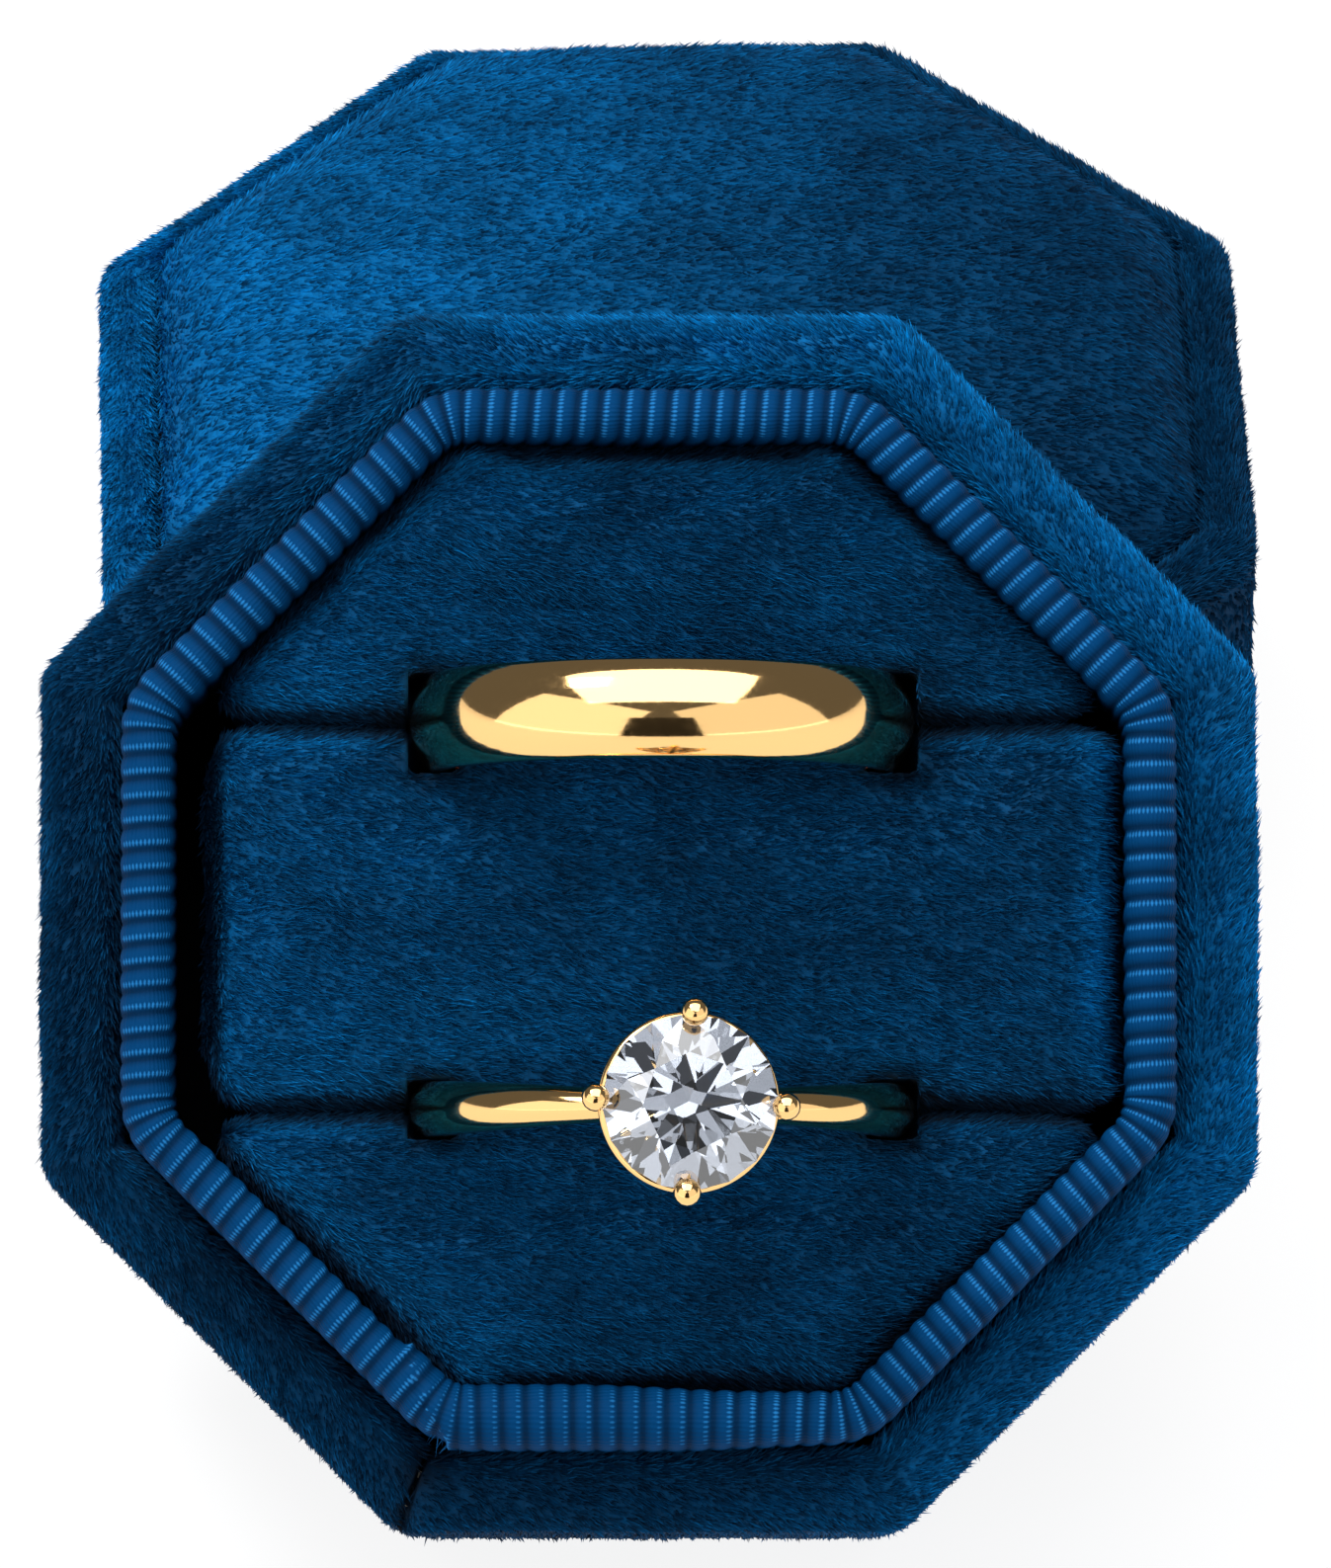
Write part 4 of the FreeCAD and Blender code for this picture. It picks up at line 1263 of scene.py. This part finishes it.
@dataclass
class Cushion:
    """Three velvet-covered foam pads with a ring slit between each two."""

    seat: Seat
    finishes: Finishes
    slit: float = 8.05
    ring_across: float = 0.55
    ring_up: float = 25.8
    ring_radius: float = 10.5
    wall: float = 19.8
    lean_right: float = 0.5
    crown: float = 27.3
    sink: float = 0.2
    stuffing: Stuffing = Stuffing(voxel=0.5, swell=0.3)

    def beside_rings(self, points: Array) -> list[tuple[float, Array, Array]]:
        """Each ring's half width, and the points' places along its axis and from it."""
        reach = np.hypot(points[:, 0] - self.ring_across, points[:, 2] - self.ring_up)
        return [
            (slot.half_width, points[:, 1] - slot.value * self.slit, reach) for slot in Slot
        ]

    def clear_of_rings(self, points: Array) -> Array:
        """One where a point is free of both rings' metal, nought inside it."""
        free = np.ones(len(points), dtype=bool)
        for half, along, reach in self.beside_rings(points):
            aside = np.abs(along)
            free &= ~((aside < half) & (reach < self.ring_radius + 0.12) & (reach > 8.6))
        return free

    def free_tufts(self, root: Array, tip: Array) -> Array:
        """Says which tufts, given by their roots and tips, stay out of the rings."""
        return self.clear_of_rings(tip) & self.clear_of_rings((root + tip) / 2)

    def hug(self, points: Array) -> Array:
        """Draws the pads in against the rings.

        They close on the rings' sides, most at the notches' walls, meet each other under
        the rings' arches, and fill the notches' ends.

        Args:
            points: (N, 3) places on the pads.

        Returns:
            The places, moved.
        """
        moved = points.copy()
        for half, aside, reach in self.beside_rings(points):
            beside = np.abs(aside) - half
            draw = 0.8 * np.exp(-(((beside - 0.4) / 0.9) ** 2)) * (beside > 0)
            draw *= 1 - smooth_step(9.6, 10.9, reach)
            draw = np.minimum(draw, np.maximum(beside - 0.03, 0.0))
            moved[:, 1] -= np.sign(aside) * draw
            meet, reach_in = 0.1, half + 3.0
            spread = meet + (np.abs(aside) - half) * (reach_in - meet) / (reach_in - half)
            close = np.clip(np.abs(aside) - np.maximum(spread, meet), 0.0, None)
            close *= (1 - smooth_step(7.7, 8.4, reach)) * (np.abs(aside) < reach_in)
            moved[:, 1] -= np.sign(aside) * close
            past = reach - self.ring_radius
            draw = np.clip(past - 0.08, 0.0, 0.6) * (beside < 0.3) * (past < 1.4)
            moved[:, 0] -= np.sign(points[:, 0] - self.ring_across) * draw
        return moved

    def painted_pad_shade(self, points: Array) -> Array:
        """Painted shade: one on the pads far from the rings, less in the notches beside them and at
        their ends, and less on the pads' lower sides.
        """
        shade = np.ones(len(points))
        for half, along, _ in self.beside_rings(points):
            aside = np.abs(along)
            away = np.abs(points[:, 0] - self.ring_across) - self.ring_radius
            flank = smooth_step(-3.5, -1.5, away) * (away < 0)
            near = (1 - smooth_step(half - 0.1, half + 0.9, aside)) * (away < 0)
            end = 1 - smooth_step(0.4, 2.4, np.abs(away))
            end *= 1 - smooth_step(half, half + 1, aside)
            # Painted shade on the pads' sides below the crown.
            low = 1 - smooth_step(self.crown - 1.6, self.crown - 0.7, points[:, 2])
            shade *= 1 - np.clip((0.4 + 0.4 * flank) * near + 0.4 * end + 0.6 * low, 0.0, 0.82)
        return shade

    def settle(self, skin: Skin, low: float, high: float) -> Skin:
        """Keeps a pad between its slits and inside the collar.

        Args:
            skin: the pad.
            low: its least place along Y.
            high: its greatest place along Y.

        Returns:
            The pad with stray points moved back.
        """
        points = self.hug(skin.points - self.sink * skin.normals())
        points[:, 0] += self.lean_right * smooth_step(8.0, 18.5, points[:, 0])
        points[:, 1] = np.clip(points[:, 1], low, high)
        return Skin(held_in(points, self.wall - self.sink), skin.faces, skin.fields)

    def build_pad(self, name: str, low: float, high: float, most: int, seed: int) -> None:
        """Makes one pad: its swollen skin and its pile."""
        nodes = [f"{name}_pad_velvet", f"{name}_pad_foam"]
        skin = self.settle(self.stuffing.pad(nodes, self.seat), low, high)
        skin = napped(skin, self.nap_light(skin.points, low, high))
        nap = np.tile([1.0, -0.15, 0.0], (len(skin.points), 1))
        up = skin.normals()[:, 2]
        edge = smooth_step(self.crown - 4.0, self.crown - 2.0, skin.points[:, 2])
        density = 66.0 * edge * (0.35 + 0.65 * smooth_step(-0.2, 0.3, up))
        tufts = Pile(seed=seed).grow(skin, nap, density, most, self.free_tufts)
        pad = build_piece(f"{name}_pad", self.seat, [skin, tufts], [self.finishes.velvet] * 2)
        hang(pad, "cushion", "velvet", *nodes)

    def nap_light(self, points: Array, low: float, high: float) -> Array:
        """Painted light on the pads: lighter to the left, where the light comes from, less in the
        middle, with a painted highlight along their edges.
        """
        across, along = points[:, 0], points[:, 1]
        # Painted light: lighter towards the left.
        side = 0.38 + 0.17 * (1 - smooth_step(-19.0, 3.0, across))
        # Painted highlight along the right edge and the slits' edges.
        painted_edge_highlight = smooth_step(17.0, 18.6, across) + 0.5 * (1 - smooth_step(0.3, 1.4, high - along))
        painted_edge_highlight += 0.35 * (1 - smooth_step(0.3, 1.2, along - low))
        light = side + 0.4 * np.clip(painted_edge_highlight, 0.0, 1.0)
        # Times the painted shade near the rings and on the pads' lower sides.
        return light * self.painted_pad_shade(points)

    def build(self) -> None:
        """Makes the three pads."""
        edge = self.slit - 0.1
        most = 42000
        self.build_pad("back", self.slit + 0.08, self.wall, most, 31)
        self.build_pad("middle", -edge, edge, most, 32)
        self.build_pad("front", -self.wall, -self.slit - 0.08, most, 33)


# ---- rings ----------------------------------------------------------------------------

@dataclass
class WeddingBand:
    """A plain polished D-section band standing in the back slit."""

    seat: Seat
    finishes: Finishes
    radius: float = 10.5
    width: float = 4.1
    wall: float = 1.7
    edge: float = 0.8

    def build(self) -> None:
        """Makes the band and hangs it on its own body."""
        section = ring_section(self.width, self.wall, self.edge, 0.1, 0.12)
        ones = np.ones((1, 256))
        radial = (self.radius - self.wall + section[:, 1:]) * ones
        skin = ring_sweep(radial, section[:, :1] * ones)
        band = build_piece("band", self.seat, [skin], [self.finishes.gold])
        hang(band, "wedding_band", "gold", "wedding_band")


@dataclass
class Solitaire:
    """A solitaire ring: tapered shank, four-prong head and a round brilliant."""

    seat: Seat
    finishes: Finishes
    radius: float = 10.5
    width: float = 2.3
    neck: float = 1.05
    wall: float = 1.6
    edge: float = 0.9
    spin: float = -2.5
    stone: float = 3.6
    table: float = 2.02
    crown: float = 1.09
    girdle: float = 0.16
    pavilion: float = 3.1
    lift: float = 3.6
    wire: float = 0.4
    tip: float = 0.58
    nod: float = 0.3

    def shank(self) -> Skin:
        """The shank, whose width draws in towards the head in step with the distance across.

        The section's axial size is scaled by the width there over the full width.
        """
        section = ring_section(self.width, self.wall, self.edge, 0.08, 0.12)
        turn = np.linspace(0.0, 2 * math.pi, 288, endpoint=False)
        aside = np.abs(np.sin(turn)) ** 1.15
        drawn = self.neck + (self.width - self.neck) * aside
        width = np.where(np.cos(turn) > 0, drawn, self.width)
        radial = (self.radius - self.wall + section[:, 1:]) * np.ones((1, len(turn)))
        return ring_sweep(radial, section[:, :1] * (width / self.width)[None])

    def head(self) -> list[Skin]:
        """Four leaning prongs with ball tips, the gallery wire and the cup."""
        foot, girdle = self.radius + 0.1, self.radius + self.lift
        knots = np.array([
            (0.55, foot - 0.3), (1.2, foot + 0.45), (2.6, foot + 1.75), (3.75, girdle - 0.55),
            (4.0, girdle + 0.05), (3.9, girdle + 0.42),
        ])
        spots = np.linspace(0.0, 1.0, 40)
        place = np.linspace(0.0, 1.0, len(knots))
        line = np.stack([np.interp(spots, place, knots[:, k]) for k in (0, 1)], -1)
        for _ in range(6):
            line[1:-1] = (line[:-2] + 2 * line[1:-1] + line[2:]) / 4
        ball = np.linspace(-1.0, 1.0, 13)
        end = line[-1] + ball[:, None] * self.tip * np.array([-0.15, 0.99])
        bulb = self.tip * np.sqrt(np.clip(1 - ball * ball, 0.02, None))
        skins = []
        for quarter in range(4):
            angle = math.radians(self.spin + 90 * quarter)
            reach = 1.0 - 0.06 * (quarter % 2)
            for flat, radii in ((line, self.wire * np.linspace(1.0, 0.92, 40)), (end, bulb)):
                upright = np.stack([reach * flat[:, 0], np.zeros(len(flat)), flat[:, 1]], -1)
                skins.append(self.turned(tube(upright, radii, 16), angle))
        gallery = self.hoop(2.4, foot + 1.6, 0.25)
        bearing = self.hoop(3.46, girdle - 0.8, 0.26)
        height = np.linspace(foot - 0.3, foot + 0.05, 8)
        cup_line = np.stack([np.zeros(8), np.zeros(8), height], -1)
        cup = tube(cup_line, np.linspace(0.62, 1.0, 8), 32)
        return skins + [gallery, bearing, cup]

    def hoop(self, radius: float, up: float, wire: float) -> Skin:
        """A level wire hoop: a circle of the wire carried round the head's axis."""
        turn = np.linspace(0, 2 * math.pi, 96, endpoint=False)[None]
        roll = np.linspace(0, 2 * math.pi, 14, endpoint=False)[:, None]
        reach = radius + wire * np.cos(roll)
        level = np.broadcast_to(up + wire * np.sin(roll), (14, 96))
        points = np.stack([reach * np.cos(turn), reach * np.sin(turn), level], -1)
        return outward(grid_skin(points, True, True))

    def turned(self, skin: Skin, angle: float) -> Skin:
        """The skin turned about the head's axis."""
        c, s = math.cos(angle), math.sin(angle)
        turn = np.array([[c, s, 0.0], [-s, c, 0.0], [0.0, 0.0, 1.0]])
        return Skin(skin.points @ turn, skin.faces, skin.fields, skin.smooth)

    def brilliant(self) -> Skin:
        """A round brilliant of 57 facets.

        Main facets of the crown are planes through a table corner and the girdle, and
        those of the pavilion through the culet and the girdle. The corners between them
        lie on those planes, halfway round.
        """
        eighth = np.arange(8) * math.pi / 4
        between = eighth + math.pi / 8
        girdle_turn = np.arange(16) * math.pi / 8
        middle = self.table * math.cos(math.pi / 8)
        crown_reach = middle + 0.52 * (self.stone - middle)
        across = crown_reach * math.cos(math.pi / 8)
        crown_up = self.crown * (self.stone - across) / (self.stone - self.table)
        under = 0.26 * self.stone
        under_up = -self.pavilion * (1 - under * math.cos(math.pi / 8) / self.stone)
        half = self.girdle / 2

        def circle(turns: Array, reach: float, up: float) -> Array:
            """Points on a level circle."""
            level = np.full(len(turns), up)
            return np.stack([reach * np.cos(turns), reach * np.sin(turns), level], -1)

        points = np.concatenate([
            circle(eighth, self.table, half + self.crown),
            circle(between, crown_reach, half + crown_up),
            circle(girdle_turn, self.stone, half),
            circle(girdle_turn, self.stone, -half),
            circle(between, under, -half + under_up),
            [[0.0, 0.0, half + self.crown], [0.0, 0.0, -half - self.pavilion]],
        ])
        k = np.arange(8)
        nxt, before = (k + 1) % 8, (k - 1) % 8
        table, star, upper, lower, belly = k, 8 + k, 16, 32, 48 + k
        at, mid, after = 2 * k, 2 * k + 1, (2 * k + 2) % 16
        top, culet = np.full(8, 56), np.full(8, 57)
        sides = np.arange(16)
        ahead = (sides + 1) % 16
        faces = np.concatenate([
            np.stack([top, table, nxt], -1),
            np.stack([table, star, nxt], -1),
            np.stack([table, 8 + before, upper + at], -1),
            np.stack([table, upper + at, star], -1),
            np.stack([star, upper + at, upper + mid], -1),
            np.stack([star, upper + mid, upper + after], -1),
            np.stack([upper + sides, lower + sides, lower + ahead], -1),
            np.stack([upper + sides, lower + ahead, upper + ahead], -1),
            np.stack([lower + at, belly, lower + mid], -1),
            np.stack([lower + mid, belly, lower + after], -1),
            np.stack([lower + at, 48 + before, belly], -1),
            np.stack([culet, belly, 48 + before], -1),
        ])
        skin = Skin(points, faces, smooth=False)
        lifted = Skin(points + [0, 0, self.radius + self.lift], skin.faces, smooth=False)
        return outward(self.turned(lifted, math.radians(self.spin + 6.0)))

    def nodding(self, skin: Skin) -> Skin:
        """The ring leans a little forward in its slit, in step with the height."""
        lean = self.nod / (self.radius + self.lift) * skin.points[:, 2:]
        return Skin(skin.points - lean * [0.0, 1.0, 0.0], skin.faces, smooth=skin.smooth)

    def build(self) -> None:
        """Makes the three pieces and hangs them on the solitaire's body."""
        gold = self.finishes.gold
        shank = build_piece("shank", self.seat, [self.nodding(self.shank())], [gold])
        head = [self.nodding(skin) for skin in self.head()]
        basket = build_piece("basket", self.seat, head, [gold] * len(head))
        facets = self.nodding(self.brilliant())
        stone = build_piece("brilliant", self.seat, [facets], [self.finishes.stone])
        for piece, node, finish in (
            (shank, "solitaire_shank", "gold"),
            (basket, "solitaire_head", "gold"),
            (stone, "solitaire_stone", "stone"),
        ):
            hang(piece, "solitaire", finish, node)


# ---- lid ------------------------------------------------------------------------------

@dataclass
class Lid:
    """The lid's velvet wall with its rolled border, and the padded panel inside it."""

    seat: Seat
    finishes: Finishes
    apothem: float = 25.5
    height: float = 23.0
    corner: float = 2.3
    sink: float = 0.25
    board_out: float = 24.5
    board_in: float = 23.3
    mouth: float = 22.1
    border: float = 22.9
    roof: float = 21.5
    roll: float = 1.3
    step: float = 0.55
    dome: float = 1.5
    panel: float = 22.75
    border_pile: Pile = Pile(lean=64.0, seed=41)
    wall_pile: Pile = Pile(width=0.14, lean=74.0, seed=42)
    panel_pile: Pile = Pile(length=0.7, width=0.095, swirl=0.35, seed=43)
    stuffing: Stuffing = Stuffing(voxel=0.75, pressure=3.0, swell=0.5)

    def wall_skin(self, loop: OctagonLoop) -> tuple[Skin, Array, Array]:
        """The wall's strip of cloth round its board, turned in at both edges.

        Returns:
            The skin, its nap and which points are on its pile side.
        """
        out, top = self.apothem - self.sink, self.height - self.sink
        inner, gap = self.border + 0.12, 0.05
        section = rounded_path(
            [
                (self.mouth, 0.05, 0.1),
                (out, 0.05, 0.7),
                (out, top, self.roll),
                (inner, top, 0.6),
                (inner, self.roof + gap, 0.0),
                (self.board_in - gap, self.roof + gap, 0.0),
                (self.board_in - gap, self.height - 1 + gap, 0.1),
                (self.board_out + gap, self.height - 1 + gap, 0.1),
                (self.board_out + gap, 1 - gap, 0.1),
                (self.mouth, 1 - gap, 0.1),
            ],
            self.step,
        )
        up = section[:, 1]
        swept, push, lumps, normal = carried(loop, section, self.apothem, self.corner, 51)
        columns = len(normal)
        side = pile_side(section, (self.board_in, self.board_out), self.height, 1.5)
        shown = side[:, None] * np.ones((1, columns))
        above = smooth_step(0.3, 2.0, up)[:, None] * shown
        swept += push * (0.12 * lumps * above)[..., None]
        tangent = np.stack([-normal[:, 1], normal[:, 0], np.zeros(columns)], -1)
        on_top = smooth_step(19.5, 21.8, up)[:, None, None]
        nap = on_top * tangent[None] + (1 - on_top) * np.array([0.0, 0.0, -1.0])
        return outward(grid_skin(swept, True, True)), nap.reshape(-1, 3), shown.ravel()

    def build_wall(self) -> None:
        """Makes the wall and its pile."""
        skin, nap, shown = self.wall_skin(OctagonLoop(12, 6))
        skin = napped(skin, self.nap_light(skin.points))
        up, reach = skin.points[:, 2], np.hypot(skin.points[:, 0], skin.points[:, 1])
        on_top = smooth_step(20.8, 21.8, up) * shown
        inside = (reach < self.mouth + 1.5) & (up < 3.0)
        on_wall = (1 - smooth_step(21.0, 21.8, up)) * shown * ~inside * (up > 0.5)
        short = self.border_pile.grow(skin, nap, 66.0 * on_top, 40000)
        long = self.wall_pile.grow(skin, nap, 12.0 * on_wall, 45000, self.seat.clear_of_floor)
        finish = self.finishes.velvet
        wall = build_piece("lid_velvet", self.seat, [skin, short], [finish] * 2)
        hang(wall, "lid", "velvet", "lid_wall_velvet")
        nap_piece = build_piece("lid_wall_nap", self.seat, [long], [finish])
        hang(nap_piece, "lid", "velvet")

    def nap_light(self, points: Array) -> Array:
        """Painted light: lighter on the lid's left side, where the light comes from, fading to its
        right.
        """
        return 0.24 + 0.67 * (1 - smooth_step(-26.0, 20.0, points[:, 0]))

    def build_panel(self) -> None:
        """Makes the padded panel, crowned towards its middle."""
        nodes = ["lid_panel_velvet", "lid_panel_foam", "lid_panel_card"]
        skin = self.stuffing.pad(nodes, self.seat)
        points = held_in(skin.points - self.sink * skin.normals(), self.panel - self.sink)
        points[:, :2] *= (self.panel - 0.08) / points[:, 0].max()
        reach = np.clip(np.hypot(points[:, 0], points[:, 1]) / self.panel, 0.0, 1.0)
        above = smooth_step(self.roof + 1.0, self.roof + 3.5, points[:, 2])
        points[:, 2] += above * self.dome * (1 - reach ** 4)
        points[:, 2] = np.maximum(points[:, 2], self.roof + 0.02)
        skin = napped(Skin(points, skin.faces), self.nap_light(points))
        nap = np.tile([1.0, -0.25, 0.0], (len(points), 1))
        density = 30.0 * smooth_step(self.roof + 0.3, self.roof + 1.0, points[:, 2])
        pile = self.panel_pile.grow(skin, nap, density, 40000)
        panel = build_piece("lid_panel", self.seat, [skin, pile], [self.finishes.velvet] * 2)
        hang(panel, "lid", "velvet", *nodes)

    def build(self) -> None:
        """Makes the lid's visible pieces."""
        self.build_wall()
        self.build_panel()


@dataclass
class LidLining:
    """The lid's inside: a satin wall and a softly stuffed satin ceiling."""

    seat: Seat
    finishes: Finishes
    mouth: float = 22.1
    wall: float = 23.25
    low: float = 1.05
    ceiling: float = 19.55
    belly: float = 0.9
    wrinkle: float = 0.16
    stuffing: Stuffing = Stuffing(voxel=0.55, pressure=2.0, swell=0.25)

    def held(self, points: Array, wall: float) -> Array:
        """Keeps points within an octagon and between the mouth and the ceiling card."""
        held = held_in(points, wall)
        held[:, 2] = np.clip(held[:, 2], self.low, self.ceiling)
        return held

    def finish_piece(self, name: str, node: str, skin: Skin) -> None:
        """Dresses one lining piece in satin and puts it in its node's place."""
        piece = build_piece(name, self.seat, [skin], [self.finishes.satin])
        hang(piece, "lid", "satin", node)

    def build_ceiling(self) -> None:
        """Makes the ceiling, bellied down in its middle and puckered a little."""
        skin = self.stuffing.pad(["lid_ceiling_satin"], self.seat)
        points = skin.points
        reach = np.clip(np.hypot(points[:, 0], points[:, 1]) / self.mouth, 0.0, 1.0)
        below = smooth_step(0.2, 0.8, -skin.normals()[:, 2])
        pucker = self.wrinkle * soft_noise(points, 3.0, 61)
        points[:, 2] -= below * (self.belly * (1 - reach ** 3) + pucker)
        points = self.held(points, self.mouth - 0.03)
        self.finish_piece("lid_ceiling", "lid_ceiling_satin", Skin(points, skin.faces))

    def build_wall(self) -> None:
        """Makes the wall's lining, with shallow wrinkles on its inner face."""
        skin = self.stuffing.pad(["lid_wall_lining"], self.seat)
        points = skin.points
        radial = points * np.array([1.0, 1.0, 0.0])
        inner = smooth_step(0.2, 0.8, -(unit(radial) * skin.normals()).sum(axis=1))
        squeezed = points * np.array([1.0, 1.0, 0.25])
        ripple = self.wrinkle * soft_noise(squeezed, 2.2, 62) * inner
        points = points + ripple[:, None] * unit(radial)
        points = self.held(points, self.wall)
        self.finish_piece("lid_lining", "lid_wall_lining", Skin(points, skin.faces))

    def build(self) -> None:
        """Makes both pieces."""
        self.build_ceiling()
        self.build_wall()


# ---- pieces kept from the design ------------------------------------------------------

def dress_nodes(finishes: Finishes) -> None:
    """Gives the boards and cards that keep their own shape a finish."""
    plain = {
        "base_wall_board": finishes.board,
        "base_floor_board": finishes.paper,
        "collar_board": finishes.paper,
        "cushion_card": finishes.paper,
        "lid_wall_board": finishes.board,
        "lid_roof_board": finishes.paper,
        "lid_ceiling_card": finishes.board,
    }
    for name, material in plain.items():
        node = frame["nodes"][name]
        for holder in node.material_slots:
            holder.material = material
        LOG.info("%s: dressed", name)


# ---- studio ---------------------------------------------------------------------------

@dataclass
class Studio:
    """White floor, soft lights and the camera.

    Attributes:
        centre: the point that the camera is measured from, in metres.
        tilt: how far the camera looks down, in degrees.
        distance: camera to that point, in millimetres.
        aside: camera's offset to the right and up, in millimetres.
        lens: focal length for a frame 36 mm high.
    """

    centre: Array
    tilt: float = 41.7
    distance: float = 650.0
    aside: tuple[float, float] = (0.7, 5.65)
    lens: float = 358.0

    def axes(self) -> tuple[Array, Array, Array]:
        """Directions of view, right and up."""
        tilt = math.radians(self.tilt)
        view = np.array([0.0, math.cos(tilt), -math.sin(tilt)])
        return view, np.array([1.0, 0.0, 0.0]), np.array([0.0, math.sin(tilt), math.cos(tilt)])

    def camera(self) -> None:
        """Stands the camera."""
        view, right, up = self.axes()
        offset = self.aside[0] * right + self.aside[1] * up - self.distance * view
        data = bpy.data.cameras.new("camera")
        data.sensor_fit = "VERTICAL"
        data.sensor_height = 36.0
        data.lens = self.lens
        data.clip_start, data.clip_end = 0.01, 20.0
        thing = bpy.data.objects.new("camera", data)
        thing.matrix_world = Matrix.Translation(Vector(self.centre + offset * MM)) @ Matrix(
            np.stack([right, up, -view], -1).tolist()
        ).to_4x4()
        bpy.context.scene.collection.objects.link(thing)
        bpy.context.scene.camera = thing

    def light(
        self, name: str, place: Sequence[float], size: Sequence[float], power: float, tint: str
    ) -> None:
        """An area light that faces the middle of the object.

        Args:
            name: the light's name.
            place: where it is, in metres from the middle.
            size: its two sides in metres.
            power: in watts.
            tint: its colour.
        """
        data = bpy.data.lights.new(name, "AREA")
        data.shape = "RECTANGLE"
        data.size, data.size_y = size
        data.energy = power
        data.color = linear(tint)[:3]
        thing = bpy.data.objects.new(name, data)
        place = np.array(place)
        back = unit(place)
        across = unit(np.cross([0.0, 0.0, 1.0], back))
        turned = np.stack([across, np.cross(back, across), back], -1)
        thing.matrix_world = Matrix.Translation(Vector(self.centre + place)) @ Matrix(
            turned.tolist()
        ).to_4x4()
        bpy.context.scene.collection.objects.link(thing)

    def floor(self) -> None:
        """A white sweep far larger than the view."""
        half = 25.0
        corners = [(-half, -half, 0), (half, -half, 0), (half, half, 0), (-half, half, 0)]
        material, tree, surface = blank("floor_white")
        shader = add_node(tree, "BsdfPrincipled", Base_Color=linear("#6A6A6A"), Roughness=0.8)
        shader.inputs["Emission Color"].default_value = linear("#FFFFFF")
        shader.inputs["Emission Strength"].default_value = 0.87
        tree.links.new(shader.outputs["BSDF"], surface)
        self.plate("floor", corners, material)

    def plate(
        self, name: str, corners: Sequence[Sequence[float]], material: bpy.types.Material
    ) -> bpy.types.Object:
        """A flat four-cornered stage piece."""
        mesh = bpy.data.meshes.new(name)
        mesh.from_pydata(corners, [], [(0, 1, 2, 3)])
        mesh.materials.append(material)
        thing = bpy.data.objects.new(name, mesh)
        bpy.context.scene.collection.objects.link(thing)
        return thing

    def stand_in(self) -> None:
        """A dark screen before the object, under the line of view, for the metal to show."""
        near, half, low, high = -0.47, 0.13, 0.02, 0.3
        corners = [
            (-half, near, low), (half, near, low), (half, near, high), (-half, near, high)
        ]
        material, tree, surface = blank("screen_black")
        shader = add_node(tree, "BsdfPrincipled", Base_Color=linear("#0A0A0A"), Roughness=0.9)
        tree.links.new(shader.outputs["BSDF"], surface)
        self.plate("dark_screen", corners, material).visible_camera = False

    def world(self) -> None:
        """An even pale surround."""
        world = bpy.data.worlds.new("surround")
        world.use_nodes = True
        back = world.node_tree.nodes["Background"]
        back.inputs["Color"].default_value = linear("#F2F5FA")
        back.inputs["Strength"].default_value = 0.14
        bpy.context.scene.world = world

    def build(self) -> None:
        """Sets the whole studio up."""
        self.floor()
        self.stand_in()
        self.world()
        self.light("overhead", (0.0, -0.05, 0.95), (1.4, 1.1), 14.0, "#FFFFFF")
        self.light("left", (-0.66, -0.6, 0.36), (1.25, 0.95), 4.6, "#FFFFFF")
        self.light("right", (0.66, -0.6, 0.36), (1.25, 0.95), 3.4, "#FFFFFF")
        self.light("key", (-0.45, 0.12, 0.85), (0.25, 0.25), 4.0, "#FFFFFF")
        self.camera()


def main() -> None:
    """Builds every piece in order."""
    logging.basicConfig(level=logging.INFO, format="%(message)s")
    bpy.context.scene.view_settings.view_transform = "Standard"
    mounts = {mount["name"]: mount for mount in frame["record"]["mounts"]}
    lean = np.array(mounts["lid_seat"]["axis"])
    base = Seat.on_mount("base_underside", lean)
    lid = Seat.on_mount("lid_mouth", np.array([0.0, 0.0, 1.0]), spin=1.9)
    finishes = Finishes.make()
    cushion = Cushion(base, finishes)
    BaseShell(base, finishes).build()
    CollarRibbon(base, finishes).build()
    cushion.build()
    stand = (cushion.ring_across, cushion.slit, cushion.ring_up)
    WeddingBand(base.moved(stand), finishes).build()
    stand = (cushion.ring_across, -cushion.slit, cushion.ring_up)
    Solitaire(base.moved(stand, roll=4.7), finishes).build()
    Lid(lid, finishes).build()
    LidLining(lid, finishes).build()
    dress_nodes(finishes)
    Studio(base.to_row(np.array([0.0, 0.0, 24.0]))).build()


if __name__ == "__main__":
    main()
